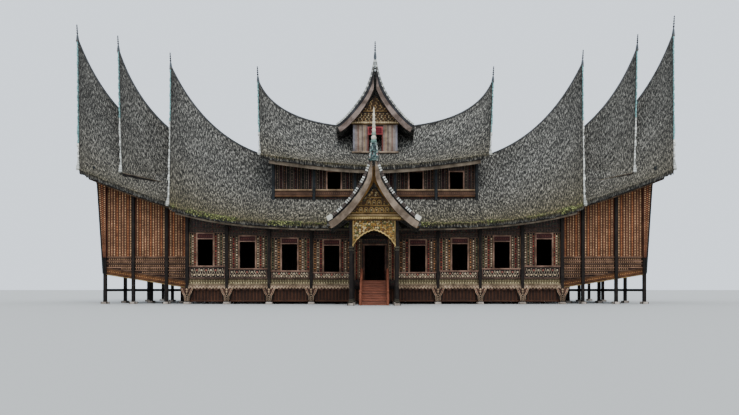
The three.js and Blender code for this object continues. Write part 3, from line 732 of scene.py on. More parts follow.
# %% The outer, middle and inner roof of one end
def outer_roof(side):
    """The outermost roof, over the wing."""
    return horned(side, [(18, 15.5), (28.2, 17.6), (32.45, 28.9)], (0, 0.6), 0.35,
                  lambda v: bezier([(17, 8.95), (22, 10.35), (27.7, 12.7)], v),
                  lambda v: WING_EAVE_HALF + 0 * v)


def middle_roof(side):
    """The roof that rides on the outer one, with short slopes that fade into it."""
    return horned(side, [(16, 15.4), (25, 18.4), (28, 27.75)], (0.5, 0.15), 0.55,
                  lambda v: bezier([(15.5, 10.8), (20.5, 12.2), (24.55, 12.8)], v),
                  lambda v: mix(2.1, 6.8, v))


def inner_eave(v):
    """Where the hall's own eave runs, out to its corner."""
    x = mix(UPPER_HALF, 19.0, v)
    return x, lower_eave(x)


def inner_roof(side):
    """The hall's own roof, from the upper storey out to its horn."""
    return horned(side, [(UPPER_HALF, INNER_RIDGE_START), (18.2, 17.1), (22.3, 25.9)], (0.25, 0.3), 0.35,
                  inner_eave, lambda v: HALL_EAVE_HALF + 0 * v)


# %% The forms of the upper roof, the two small roofs and the skirts
UPPER_RIDGE = [(0, 19.05), (10.9, 19), (12.8, 24.4)]
UPPER_EAVE_HALF = 6.2
upper_surface = saddle(UPPER_RIDGE, lambda v: (11.2 * v, 13.65 + 1.12 * v ** 1.6),
                       lambda v: UPPER_EAVE_HALF + 0 * v, UPPER_HOLLOW, along_x(1))
top_surface = saddle([(0, 21.4), (3.1, 21.4), (3.9, 22.95)], lambda v: (3.6 * v, 17.55 + 0.82 * v ** 2),
                     lambda v: 4.0 + 0 * v, SMALL_HOLLOW, along_y(RIDGE_Y, -1), (2.5, 8))
porch_surface = saddle([(-3, 9.8), (4.4, 9.3), (6.6, 11.5)],
                       lambda v: (mix(-3, 5.8, v), 7.15 + 0.28 * v ** 2),
                       lambda v: 4.0 + 0 * v, SMALL_HOLLOW, along_y(0, -1), (2, 6))


def skirt_surface(u, t):
    """The hall's slope in front of the upper storey, u from -1 to 1 along it."""
    u, t = np.broadcast_arrays(np.asarray(u, float), np.asarray(t, float))
    x = u * UPPER_HALF
    eave, rise = lower_eave(x), np.maximum(0, 1 - np.abs(t))
    up = eave + (INNER_RIDGE_START - eave) * rise ** MAIN_HOLLOW
    return np.stack([x, RIDGE_Y + t * HALL_EAVE_HALF, up], -1)


# %% The leaning gable planes, and where a roof meets a limit
INNER_GABLE = [(17.95, 6), (22.15, 27)]
MIDDLE_GABLE = [(22.3, 8), (27.4, 28)]
OUTER_GABLE = [(26.7, 12), (31.45, 30)]


def plane_x(plane, z):
    """How far out a leaning gable plane stands at a height."""
    (foot_x, foot_z), (top_x, top_z) = plane
    return mix(foot_x, top_x, (z - foot_z) / (top_z - foot_z))


def past_plane(side, plane, margin):
    """A limit for share_at: is a point outside a gable plane by more than the margin?"""
    return lambda p: side * p[..., 0] > plane_x(plane, p[..., 2]) + margin


def share_at(surface, beyond, t):
    """The share v at which the roof line t passes a limit, found by halving the interval."""
    low, high = np.zeros(np.shape(t)), np.ones(np.shape(t))
    for _ in range(22):
        middle = (low + high) / 2
        past = beyond(surface(middle, t))
        low, high = np.where(past, low, middle), np.where(past, middle, high)
    return (low + high) / 2


# %% [markdown]
# ## Thatch
# Palm-fibre thatch is a thick, shaggy coat. Hair or cards would do it for a close view, but
# at this size a dense sheet whose surface is pushed in by noise gives the same broken edge
# and speckle with far fewer faces. The slabs are closed, so they are solid from below too.

# %% Noise for the shaggy surface
GRID = 128
LATTICE = np.random.default_rng(11).random((GRID, GRID))


def lattice_noise(x, y):
    """Smooth noise: random values on a grid, blended between its points, and repeated."""
    i, j = np.floor(x).astype(int), np.floor(y).astype(int)
    a, b = x - i, y - j
    a, b = a * a * (3 - 2 * a), b * b * (3 - 2 * b)


    def at(m, n):
        return LATTICE[(i + m) % GRID, (j + n) % GRID]
    return mix(mix(at(0, 0), at(1, 0), a), mix(at(0, 1), at(1, 1), a), b)


# %% What the thatch finish is told at each point
SHAG = 0.11
# The underside's paint: a little brown in red, and full painted shade in green.
UNDERSIDE_SHADE = (0.1, 1.0, 0.0, 1.0)


def thatch_paint(v, t, along, moss, seed):
    """What the thatch finish reads: moss in red, thick near the eave in some stretches, and painted shade
    in green, at the horns and on the cut edge."""
    slope, out = np.abs(t), np.abs(v)
    stretches = np.clip(3 * lattice_noise(along / 2.6 + 9 * seed, 23 + np.sign(t)) - 1, 0, 1)
    near_eave = np.clip((slope - 0.3) / 0.7, 0, 1) ** 1.6
    near_eave = near_eave + np.clip((slope - 0.93) / 0.05, 0, 1) * moss * stretches
    # Painted shade at the horns and along the cut edge of the eave.
    horn = out ** 7 * (1 - slope) + 0.35 * out ** 60 + 0.9 * (slope > 0.999)
    return np.stack([0.12 + 0.88 * near_eave * moss, np.clip(horn, 0, 1), 0 * horn, 1 + 0 * horn], -1)


# %% The shaggy sheet itself
def thatch_patch(surface, v, t, drop, moss, seed):
    """The roof surface pushed in by noise, over the same surface lowered by the thatch's
    depth. The eaves hang down unevenly as a fringe."""
    smooth = surface(v, t)
    normal = unit(np.cross(np.gradient(smooth, axis=0), np.gradient(smooth, axis=1)))
    normal = normal * np.where(normal[..., 2:] < 0, -1, 1)
    down = lengths(smooth, 1)
    down = np.abs(down - down[:, [np.abs(t[0]).argmin()]])
    along = lengths(smooth, 0)[:, [smooth.shape[1] // 2]] + 0 * down
    coarse = lattice_noise(along / 0.42 + 7 * seed, down / 0.85 + 40 * (t < 0))
    fine = lattice_noise(along / 0.17 + 3 * seed, down / 0.4 + 60 * (t < 0))
    top = smooth - normal * (SHAG * (0.65 * coarse + 0.35 * fine))[..., None]
    bottom = lowered(smooth, drop(v, t))
    edge = np.clip((np.abs(t) - 0.985) / 0.015, 0, 1)
    ragged = lattice_noise(along / 0.13 + 5 * seed, 11 + np.sign(t))
    top = lowered(top, 0.05 * edge * ragged)
    bottom = lowered(bottom, edge * (0.2 * ragged ** 2 - 0.02))
    paint = thatch_paint(v, t, along, moss, seed)
    uv = np.stack([along + 17 * seed, down + 30 * (t < 0)], -1)
    under_uv = uv + np.stack([0 * down, drop(v, t)], -1)
    return closed_sheet(top, bottom, uv, paint, under_uv, UNDERSIDE_SHADE)


def eave_dense(count, start=-1.0, end=1.0):
    """Shares across the roof, with one more row close to each eave for the fringe."""
    t = np.linspace(start, end, count)
    extra = [side * 0.993 for side in (-1, 1) if start <= side * 0.993 <= end]
    return np.unique(np.concatenate([t, extra]))


# %% Thatch the roofs of both ends
ROOFS = {}
for side, side_name in SIDES.items():
    for seed, (kind, form, limit, rows, columns, moss) in enumerate((
            ("outer", outer_roof, INNER_GABLE, 80, 122, 0.32),
            ("middle", middle_roof, INNER_GABLE, 66, 96, 0.2),
            ("inner", inner_roof, None, 70, 128, 0.56))):
        surface, tip = form(side)
        t = eave_dense(columns)
        start = 0 * t
        if limit:
            start = share_at(surface, past_plane(side, limit, 0.02), t)
        v = start + (1 - start) * np.linspace(0, 1, rows)[:, None]
        t = np.broadcast_to(t, v.shape)
        sheet = thatch_patch(surface, v, t, horn_drop, moss, seed + 3 * (side > 0))
        name = f"{side_name}_{kind}_thatch"
        new_piece(name, [sheet], THATCH_FINISH, [f"{side_name}_{kind}_roof"], smooth=80)
        ROOFS[side, kind] = (surface, tip)
        print(name, TRIANGLES[name])

# %% Thatch the skirts, the upper roof, the top room and the porch
SKIRT_TOP = 5.0 / HALL_EAVE_HALF
skirt_u, skirt_t = np.meshgrid(np.linspace(-1, 1, 128), eave_dense(34, SKIRT_TOP, 1.0), indexing="ij")
for way, name in ENDS.items():
    sheet = thatch_patch(skirt_surface, skirt_u, way * skirt_t, deepening(THATCH, THATCH), 0.52, 9 + way)
    new_piece(f"{name}_skirt_thatch", [sheet], THATCH_FINISH, [f"{name}_skirt_roof"], smooth=80)
for name, surface, drop, rows, columns, moss in (("upper", upper_surface, horn_drop, 156, 84, 0.44),
                                                 ("top_room", top_surface, barge_drop, 50, 64, 0.1),
                                                 ("porch", porch_surface, barge_drop, 60, 64, 0.3)):
    first = 0 if name == "porch" else -1
    v, t = np.meshgrid(np.linspace(first, 1, rows), eave_dense(columns), indexing="ij")
    sheet = thatch_patch(surface, v, t, drop, moss, len(name))
    new_piece(f"{name}_thatch", [sheet], THATCH_FINISH, [f"{name}_roof"], smooth=80)
print("thatch triangles", sum(TRIANGLES.values()))

# %% [markdown]
# ## Verges, ridges and horn finials
# Each gable edge is closed by a board, capped with overlapping metal plates that show white
# and blue-green from the front. The ridge has a thin metal cap, and every horn carries a
# tapering staff threaded with beads. The edge board and plates follow the saddle's last row.

# %% Directions and distances along a verge
WHITE_PLATE, TEAL_PLATE = colour(226, 226, 216), colour(134, 190, 188)
# The second colour is near black, for the painted shadow strips along the eaves.
GREY_BOARD, EAVE_SHADOW_BOARD = (104, 98, 90), (34, 29, 26)


def verge_frame(path, outboard, sky=(0.0, -0.2, 1.0)):
    """Unit vectors square to the verge and to the outboard way, turned towards the sky side."""
    tangent = unit(np.gradient(path, axis=0))
    normal = unit(np.cross(tangent, np.broadcast_to(outboard, path.shape)))
    return normal * np.where((normal * sky).sum(-1, keepdims=True) < 0, -1, 1)


def at_lengths(path, spots):
    """Points of the path at given distances along it."""
    reach = lengths(path, 0)
    return np.stack([np.interp(spots, reach, path[:, axis]) for axis in range(3)], -1)


# %% Metal plates along a verge, and the board behind them
def plates(path, outboard, pitch, share, width, height, sink, paint, sky=(0.0, -0.2, 1.0)):
    """Short metal plates laid end to end along the verge, each a share of the pitch long."""
    total = lengths(path, 0)[-1]
    spots = np.arange(0, total - pitch * share, pitch)
    starts, ends = at_lengths(path, spots), at_lengths(path, spots + pitch * share)
    normal = verge_frame(at_lengths(path, spots + pitch / 2), outboard, sky)
    width = width(spots / total)[:, None]
    corner = np.array([(-0.05, -1.0), (1.0, -1.0), (1.0, -0.2), (0.8, 0.0), (-0.05, 0.0)])
    section = np.stack([corner[:, 0] * width, corner[:, 1] * height + sink + 0 * width], -1)
    return bars(starts, ends, outboard, normal, section, paint(spots / total))


def verge_patches(surface, outboard, drop, white_share):
    """Front half of one horn's verge: the board over the thatch's cut end, and its plates
    from the eave, t = -1, up to the tip. They are white up to white_share of the way."""
    t = -np.linspace(0.994, 0.015, 40)
    path = surface(1.0, t)
    normal = verge_frame(path, outboard)
    depth = drop(np.ones_like(t), t) * np.clip(normal[:, 2], 0.25, 1) + 0.04
    board = moulding(path, outboard, normal, oblong(0, 0.07, -depth, 0.02), GREY_BOARD)
    worn = np.random.default_rng(5)

    def plate_width(share):
        return (0.1 + 0.15 * (1 - share) ** 5) * worn.uniform(0.6, 1.4, len(share))

    def plate_paint(share):
        shades = np.where((share < white_share)[:, None], WHITE_PLATE, TEAL_PLATE)
        return np.clip(shades * worn.uniform(0.55, 1.15, len(share))[:, None], 0, 1)
    trim = plates(path, outboard, 0.42, 0.8, plate_width, 0.2, 0.05, plate_paint)
    return [board, trim]


# %% The verges of every horn
WHITE_SHARE = {"outer": 0.22, "middle": 0.45, "inner": 0.6}
verge_trim = []
for (side, kind), (surface, _) in ROOFS.items():
    verge_trim += verge_patches(surface, (side, 0, 0), horn_drop, WHITE_SHARE[kind])
verge_trim += both_sides(verge_patches(upper_surface, (1, 0, 0), horn_drop, 0.35))
new_piece("horn_verges", front_and_rear(verge_trim), METAL_TRIM)
print("verge plates", len(verge_trim) // 2, "horn edges on each slope")

# %% Ridge caps
def ridge_cap(surface, v):
    """A thin metal cap bent over the ridge, at the given shares of the roof."""
    path = surface(v, 0.0)
    along = unit(np.gradient(path, axis=0))
    across = unit(np.cross(along, (0, 0, 1)))
    return moulding(path, across, unit(np.cross(across, along)), CAP_SECTION, (66, 66, 66))


CAP_SECTION = [(-0.12, -0.14), (0.12, -0.14), (0.1, -0.03), (0.04, 0.02), (-0.04, 0.02), (-0.1, -0.03)]
caps = []
for (side, kind), (surface, _) in ROOFS.items():
    begin = 0.05
    if kind != "inner":
        begin = float(share_at(surface, past_plane(side, INNER_GABLE, 0.3), 0.0))
    caps.append(ridge_cap(surface, np.linspace(begin, 0.995, 30)))
caps.append(ridge_cap(upper_surface, np.linspace(0.13, 0.995, 34)))
caps += reflected(caps[-1:], in_x=True)
new_piece("ridge_caps", caps, METAL_TRIM)

# %% Finials: a cone, then beads that shrink towards the top
def beads(start, radius, count, height):
    """Profile points of beads one on another, each smaller than the last."""
    size = np.linspace(1, 0.68, count)
    edges = start + np.concatenate([[0], np.cumsum(size)]) / size.sum() * height
    bulge = ((0.25, 0.02), (0.85, 0.25), (1.0, 0.5), (0.85, 0.75), (0.25, 0.98))
    rows = []
    for low, high, scale in zip(edges[:-1], edges[1:], size):
        rows += [(radius * scale * b, mix(low, high, s)) for b, s in bulge]
    return rows


def finial_patch(foot, height, lean):
    """A pale cone grips the horn's tip, and five dark beads diminish above it."""
    cone = [(0, -0.7), (0.1, -0.7), (0.16, -0.35), (0.1, height * 0.12), (0.05, height * 0.2)]
    string = beads(height * 0.2, 0.104, 5, height * 0.75)
    profile = cone + string + [(0.012, height * 0.96), (0, height - 0.008)]
    shades = [colour(84, 90, 94)] * len(cone) + [colour(14, 18, 22)] * (len(profile) - len(cone))
    return turned(profile, foot, lean, sides=12, paint=np.array(shades))


# %% Hang the finials on the frame
def add_staff(name, solid, foot, height, lean=0.0):
    """Hangs a finial on the frame in place of its solid."""
    new_piece(name, [finial_patch(foot, height, lean)], METAL_TRIM, [solid])


FINIAL_LEAN = math.tan(0.058)
FINIAL = 1.35
OUTER_FINIALS = {-1: 1.4, 1: 1.8}
for (side, kind), (_, tip) in ROOFS.items():
    height = OUTER_FINIALS[side] if kind == "outer" else FINIAL
    name = f"{SIDES[side]}_{kind}_finial"
    add_staff(f"{name}_staff", name, (side * tip[0], RIDGE_Y, tip[1]), height, side * FINIAL_LEAN)
for side, name in SIDES.items():
    foot = (side * UPPER_RIDGE[2][0], RIDGE_Y, UPPER_RIDGE[2][1])
    add_staff(f"upper_{name}_staff", f"upper_{name}_finial", foot, FINIAL, side * FINIAL_LEAN)
for way, name in ENDS.items():
    foot = (0, RIDGE_Y + way * 3.9, 25.45)
    add_staff(f"top_room_{name}_staff", f"top_room_{name}_finial", foot, FINIAL)
print("finials done, triangles so far", sum(TRIANGLES.values()))

# %% [markdown]
# ## The long eave
# Under the thatch the eave ends in a thin weathered board that follows its curve. It hides
# the rafter ends. Each eave's own formula gives the path, so the board can't drift from it.
# The middle roofs lie on the outer ones, and a batten marks where their thatch ends.

# %% Eave boards: for each roof its stretch of v, then depth, drop, setback and paint
EAVE_BOARD, PALE_BATTEN, BROWN_BOARD = (116, 103, 87), (112, 100, 84), (92, 72, 54)
# In each pair the second board is a thin near-black strip in front of the first board's top: a painted
# shadow of the thatch above. On the middle roofs it hangs under the pale batten as the batten's painted
# shadow.
LONG_EAVE = ((0.24, 0.44, 0.16, EAVE_BOARD), (0.12, 0.4, 0.07, EAVE_SHADOW_BOARD))
EAVES = {"outer": ((0.12, 0.93, 40), (0.2, 0.44, 0.16, BROWN_BOARD), (0.14, 0.4, 0.07, EAVE_SHADOW_BOARD)),
         "middle": ((0.6, 0.99, 24), (0.06, 0.06, -0.06, PALE_BATTEN), (0.2, 0.12, -0.03, EAVE_SHADOW_BOARD)),
         "inner": ((0, 0.94, 40), *LONG_EAVE)}


def eave_board(surface, v, depth, below, behind, paint):
    """A board along the front eave: the roof's last row, lowered and set back."""
    path = surface(v, -1.0) + (0.0, behind, -below)
    return moulding(path, (0, 1, 0), UP, oblong(0, 0.07, -depth, 0), paint)


eaves = []
for (side, kind), (surface, _) in ROOFS.items():
    stretch, *pair = EAVES[kind]
    eaves += [eave_board(surface, np.linspace(*stretch), *board) for board in pair]
eaves += [eave_board(skirt_surface, np.linspace(-1, 1, 60), *board) for board in LONG_EAVE]
eaves.append(eave_board(upper_surface, np.linspace(-0.93, 0.93, 80), 0.42, 0.44, 0.1, EAVE_BOARD))
# A thin near-black strip over the top of the upper eave board: painted shadow under the thatch.
eaves.append(eave_board(upper_surface, np.linspace(-0.95, 0.95, 80), 0.13, 0.4, 0.01, EAVE_SHADOW_BOARD))
new_piece("eave_boards", front_and_rear(eaves), WEATHERED_BOARD)

# %% Moss on the long eave: lumps that crowd together in some stretches and miss others
rng = np.random.default_rng(17)
MOSSES = np.array([colour(64, 68, 38), colour(104, 108, 60), colour(156, 160, 98), colour(42, 46, 28)])
SLOPE_UP, SLOPE_OUT = (0.0, 0.8, 0.6), (0.0, -0.6, 0.8)


def mossy(surface, count, t):
    """Seeded places on a roof, kept where a slow noise along the eave lets moss grow."""
    v = rng.uniform(-1 if surface is skirt_surface else 0.02, 0.97, count)
    spots = surface(v, t)
    crowd = lattice_noise(spots[:, 0] / 1.5 + 40, 5 + 0 * v)
    return spots[crowd > np.where(spots[:, 0] < 0, 0.32, 0.72)]


def cushions(spots, up, out, relief):
    """Lumps of moss in four greens."""
    radius = rng.uniform(0.03, 0.085, len(spots))
    greens = MOSSES[rng.integers(0, 4, len(spots))]
    return studs(spots, RIGHT, up, out, radius, 0.85, 8, relief, greens)


on_rim, on_slope = [], []
for surface, count in ((skirt_surface, 1000), (ROOFS[-1, "inner"][0], 480), (ROOFS[1, "inner"][0], 480)):
    rim = mossy(surface, count, -1.0)
    inward = rng.uniform(-0.05, 0.08, len(rim))
    rim = rim + np.stack([0 * inward, inward, inward - rng.uniform(0.02, 0.34, len(rim))], -1)
    on_rim.append(cushions(rim, UP, OUT, 0.8))
    slope = mossy(surface, count // 2, -rng.uniform(0.95, 0.98, count // 2))
    on_slope.append(cushions(slope, SLOPE_UP, SLOPE_OUT, 0.6))
new_piece("eave_moss_cushions", on_rim + front_and_rear(on_slope), EAVE_MOSS, smooth=80)
print("moss triangles", TRIANGLES["eave_moss_cushions"])

# %% [markdown]
# ## The hall's carved bays
# Between two posts every bay is the same composition: an open window in a pale frame, a red
# panel over it, carved strips on each side, a parapet with a twining vine below, and a band
# of narrow slats over the sill beam. Carving on such houses is low relief cut into boards,
# so the strips are real studs on real boards and not a picture of them.
# Only the right half of the front is laid out. The rest is reflected from it.

# %% Where the bays and windows are
BAY = 4.0
POST_LINES = np.array([6.0, 10.0, 14.0, 17.76])
BAYS = [(2.02, 5.86), (6.14, 9.86), (10.14, 13.86), (14.14, 17.62)]
WINDOWS = (np.arange(1, 5) + 0.02) * BAY
WINDOW_HALF, WINDOW_HEIGHT = 0.73, 2.5
LINTEL_TOP = 0.56
SLAT_BAND = (1.87, 2.33)


def sill_height(x):
    """Window sills climb gently towards the ends of the hall."""
    return 3.05 + 0.6 * (np.maximum(np.abs(x) - BAY, 0) / 12) ** 1.3


# %% Inks of the carving, and how columns of studs take them
CREAM_INK, ROSE_INK = colour(220, 194, 158), colour(156, 64, 48)
GOLD_INK, LEAF_INK = colour(190, 130, 80), colour(114, 114, 78)
INKS = np.array([CREAM_INK, ROSE_INK, GOLD_INK, LEAF_INK])
FRAME_PALE, CARVE_GROUND = (156, 122, 104), (20, 12, 10)


def striped(count, first, second):
    """Two sRGB colours by turns, for boards side by side."""
    return np.where((np.arange(count) % 2 == 0)[:, None], colour(*first), colour(*second))


def by_turns(ink, count, dip):
    """One ink for each stud of a column, every other stud darker by dip."""
    return ink * mix(dip, 1.0, np.arange(count) % 2)[:, None]


def stud_columns(x, z0, z1, pitch, radius, y, inks, pinch=0.8, seed=1, dip=0.5):
    """Columns of studs, nearly touching, each column in an ink of its own and half a step up
    from the one before. All are worn by chance."""
    centres, shades = [], []
    for number, (at, low, high) in enumerate(np.broadcast(np.atleast_1d(x), z0, z1)):
        z = np.arange(low + pitch * (0.35 + 0.5 * (number % 2)), high - pitch * 0.3, pitch)
        centres.append(row(at, y, z))
        shades.append(by_turns(inks[number % len(inks)], len(z), dip))
    wear = np.random.default_rng(seed).uniform(0.75, 1.15, sum(map(len, shades)))[:, None]
    paint = np.clip(np.concatenate(shades) * wear, 0, 1)
    paint[:, 3] = 1.0
    return studs(np.concatenate(centres), RIGHT, UP, OUT, radius, pinch, 4, paint=paint)


# %% One bay of the hall, in three layers: boards, frames and carving
boards, frames, carving = [], [], []
BAY_INKS = INKS[np.array([(1, 0, 2, 0), (2, 0, 3, 1), (0, 1, 0, 3), (1, 0, 3, 0)])]
for number, ((left, right), window) in enumerate(zip(BAYS, WINDOWS)):
    sill = float(sill_height(window))
    head = sill + WINDOW_HEIGHT
    top = head + LINTEL_TOP
    for way, x0, x1 in ((-1, left, window - WINDOW_HALF - 0.1), (1, window + WINDOW_HALF + 0.1, right)):
        count = 4 if x1 - x0 > 0.96 else 3
        lines = np.linspace(x0 + 0.04, x1 - 0.04, count + 1)
        middles, strip = between(lines), (x1 - x0) / count - 0.05
        inks = BAY_INKS[number][:count][::way]
        frames.append(upright(lines, sill - 0.04, top, 0.045, 0.07))
        boards.append(upright(middles, sill - 0.04, top, strip, 0.03, paint=CARVE_GROUND))
        carving.append(stud_columns(middles, sill, top, 0.235, 0.1, -0.035, inks, 0.75, number))
    jambs = window + np.array([-1, 1]) * (WINDOW_HALF + 0.05)
    frames.append(upright(jambs, sill - 0.06, top, 0.09, 0.11, paint=FRAME_PALE))
    frames += rails(window - WINDOW_HALF - 0.12, window + WINDOW_HALF + 0.12, 0.0,
                    (head + 0.04, 0.08, 0.12, FRAME_PALE), (top, 0.08, 0.12, FRAME_PALE))
    # The rails at top + 0.09 and top + 0.5 are painted dark brown: painted shade under the eave.
    frames += rails(left, right, 0.0, (sill - 0.06, 0.1, 0.14, FRAME_PALE),
                    (top + 0.09, 0.06, 0.09, (104, 82, 66)), (top + 0.5, 0.06, 0.08, (84, 64, 50)))
    boards += rails(window - WINDOW_HALF, window + WINDOW_HALF, 0.0,
                    (head + 0.3, LINTEL_TOP - 0.1, 0.04, (62, 24, 22)))
    spots = np.linspace(window - 0.55, window + 0.55, 6)
    carving.append(carve(spots, -0.05, head + 0.3, 0.1, (98, 50, 42)))
    # The frieze studs are painted dark too: painted shade under the eave.
    frieze = np.arange(left + 0.2, right - 0.1, 0.26)
    carving.append(carve(frieze, -0.02, top + 0.3, 0.1, (84, 64, 50)))
print("bays laid out with", len(carving), "groups of studs")

# %% The band of slats over the sill beam
def slat_band(left, right):
    """Boards, frames and studs of the band between two posts: narrow slats on a dark board,
    a pale rail at their feet with small lozenges on it, and a dark rail below."""
    low, high = SLAT_BAND
    x = np.linspace(left + 0.05, right - 0.05, round((right - left) / 0.125))
    shades = striped(len(x), (142, 128, 94), (112, 98, 68))
    slats = [rail(left, right, (low + high) / 2, high - low, 0.06, paint=(72, 60, 42)),
             upright(x, low + 0.06, high - 0.01, 0.075, 0.05, -0.06, shades)]
    feet = rails(left, right, 0.0, (low + 0.02, 0.09, 0.16, (184, 162, 130)),
                 (low - 0.1, 0.09, 0.2, (92, 72, 54)))
    x = np.arange(left + 0.1, right - 0.05, 0.24)
    return slats, feet, [carve(x, -0.115, low + 0.15, 0.07, (210, 196, 150), 4, 0.8)]


# %% The parapet with its twining vine
VINE = colour(206, 186, 156)
VINE_SECTION = [(-0.03, -0.01), (0.03, -0.01), (0.0, 0.045)]
LEAVES = np.array([CREAM_INK, VINE, CREAM_INK, colour(170, 110, 92)])
for (left, right), window in zip(BAYS, WINDOWS):
    low, high = SLAT_BAND[1] + 0.14, float(sill_height(window)) - 0.14
    middle, half = (low + high) / 2, (high - low) / 2
    boards.append(rail(left, right, middle, high - low, 0.05, paint=(34, 25, 21)))
    frames.append(rail(left, right, low - 0.05, 0.08, 0.12, paint=(84, 66, 52)))
    frames += rails(left + 0.08, right - 0.08, 0.0, (low + 0.02, 0.03, 0.09, FRAME_PALE),
                    (high, 0.03, 0.09, FRAME_PALE))
    frames.append(upright([left + 0.1, right - 0.1], low + 0.02, high, 0.035, 0.09, paint=FRAME_PALE))
    turns = round((right - left - 0.4) / 0.46)
    x = np.linspace(left + 0.18, right - 0.18, turns * 10)
    wave = np.sin((x - x[0]) / (x[-1] - x[0]) * turns * math.pi * 2)
    carving.append(front_moulding(row(x, -0.05, middle + 0.5 * half * wave), VINE_SECTION, VINE))
    spots = between(np.linspace(x[0], x[-1], 2 * turns + 1))
    numbers = np.arange(len(spots))
    flip = (-1.0) ** numbers
    carving.append(carve(spots, -0.055, middle - flip * 0.42 * half, 0.125, LEAVES[numbers % 4], 10, 0.55))
    carving.append(carve(spots, -0.055, middle + flip * 0.66 * half, 0.06, VINE, 6, 0.6))
    for layer, band in zip((boards, frames, carving), slat_band(left, right)):
        layer.extend(band)

# %% The middle bay of the rear has no door, so it repeats the carved strips
lines = np.linspace(-1.9, 1.9, 9)
rear_studs = stud_columns(lines[:-1] + 1.9 / 8, 3.0, 6.1, 0.165, 0.1, -0.01, INKS)
rear_frames = [upright(lines, 3.0, 6.1, 0.07, 0.07)]
rear_frames += [rail(-2, 2, z, 0.1, 0.12) for z in (2.5, 2.96, 6.2)]
slats, feet, lozenges = slat_band(-2.02, 2.02)
boards = four_ways(boards) + reflected(slats, in_y=True)
frames = four_ways(frames) + reflected(rear_frames + feet, in_y=True)
carving = four_ways(carving) + reflected([rear_studs] + lozenges, in_y=True)
new_piece("hall_boards", boards, PAINTED_WOOD)
new_piece("hall_frames", frames, WEATHERED_BOARD)
new_piece("hall_studs", carving, PAINTED_WOOD, smooth=20)
print("hall triangles", *(TRIANGLES[name] for name in ("hall_boards", "hall_frames", "hall_studs")))

# %% [markdown]
# ## Below the floor
# A scalloped board hangs from the sill beam. A fretwork bracket spreads from the foot of each
# post like a vase, and between the brackets slats close the space under the floor.

# %% Slats and scalloped boards
SCREEN_BROWN, SCREEN_DARK = (76, 44, 25), (50, 29, 16)
TRIM_PALE, FRET = (184, 158, 130), (80, 54, 42)
BRACKET_FRONT = -0.235


def screen(x):
    """Upright slats under the floor, by turns brown and dark."""
    return upright(x, 0.24, 1.5, 0.12, 0.05, 0.02, striped(len(x), SCREEN_BROWN, SCREEN_DARK))


def scallops(x0, x1, top, drop, pitch, y, paint):
    """A board whose lower edge is a row of half rounds: z = top - drop * (0.45 + 0.55 *
    |sin(pi x / pitch)|)."""
    count = max(1, round((x1 - x0) / pitch))
    x = np.linspace(x0, x1, count * 8 + 1)
    bottom = top - drop * (0.45 + 0.55 * np.abs(np.sin(np.linspace(0, count * math.pi, len(x)))))
    front = np.stack([row(x, y, top), row(x, y, bottom)], 1)
    return closed_sheet(front, front + (0, 0.03, 0), front[..., [0, 2]], paint)


def sill_lace(left, right):
    """Two scalloped boards under the sill beam, a fine pale one before a dark coarse one."""
    return [scallops(left - 0.1, right + 0.1, 1.76, 0.3, 0.3, BRACKET_FRONT - 0.035, TRIM_PALE),
            scallops(left - 0.05, right + 0.05, 1.6, 0.3, 0.6, BRACKET_FRONT + 0.01, FRET)]


below, slats, bracket_carving = [], [], []
for left, right in BAYS:
    below += sill_lace(left, right)
    slats.append(screen(np.arange(left + 0.1, right, 0.16)))
    slats.append(rail(left, right, 0.3, 0.12, 0.07, 0.02, SCREEN_BROWN))
    drops = np.arange(left + 0.1, right, 0.3)
    bracket_carving.append(carve(drops, BRACKET_FRONT - 0.036, 1.66, 0.07, (96, 70, 56), 4, 1.0))

# %% The vase brackets
BRACKET_EDGE = [(-0.025, -0.01), (0.025, -0.01), (0.02, 0.035), (-0.02, 0.035)]


def vase_half(z):
    """Half width of a bracket: w = 0.17 + 0.5 u ^ 1.7 + 0.03 sin(4 pi u), u from foot to head."""
    u = (z - 0.3) / 1.26
    return 0.17 + 0.5 * u ** 1.7 + 0.03 * np.sin(4 * math.pi * u)


for x in POST_LINES:
    y, z = BRACKET_FRONT - 0.03, np.linspace(0.3, 1.56, 15)
    face = np.stack([row(x - vase_half(z), BRACKET_FRONT, z), row(x + vase_half(z), BRACKET_FRONT, z)], 1)
    below.append(closed_sheet(face - (0, 0.03, 0), face + (0, 0.01, 0), face[..., [0, 2]], FRET))
    for way in (-1, 1):
        for inset in (0.0, 0.13):
            edge = row(x + way * (vase_half(z) - inset), y, z)
            below.append(front_moulding(edge, BRACKET_EDGE, TRIM_PALE))
    z = np.array([0.5, 0.72, 0.94, 1.16, 1.38])
    bracket_carving.append(carve(x, y, z, 0.3 * vase_half(z) + 0.03, (188, 156, 124), 10))
    for way in (-1, 1):
        side_x = x + way * (vase_half(z[2:]) - 0.06)
        bracket_carving.append(carve(side_x, y, z[2:], 0.055, (176, 96, 78), 4, 1.0))
below = four_ways(below) + reflected(sill_lace(-1.92, 1.92), in_y=True)
slats = four_ways(slats) + front_and_rear([screen(np.arange(-1.84, 1.9, 0.16))])
new_piece("sill_trim", below, WEATHERED_BOARD)
new_piece("screen_slats", slats, PAINTED_WOOD)
new_piece("bracket_carving", four_ways(bracket_carving), PAINTED_WOOD, smooth=20)


# %% Footing stones under every post: a slightly bulging, rounded block
STONE_HALF, STONE_HEIGHT, STONE_SIDES = 0.31, 0.215, 20


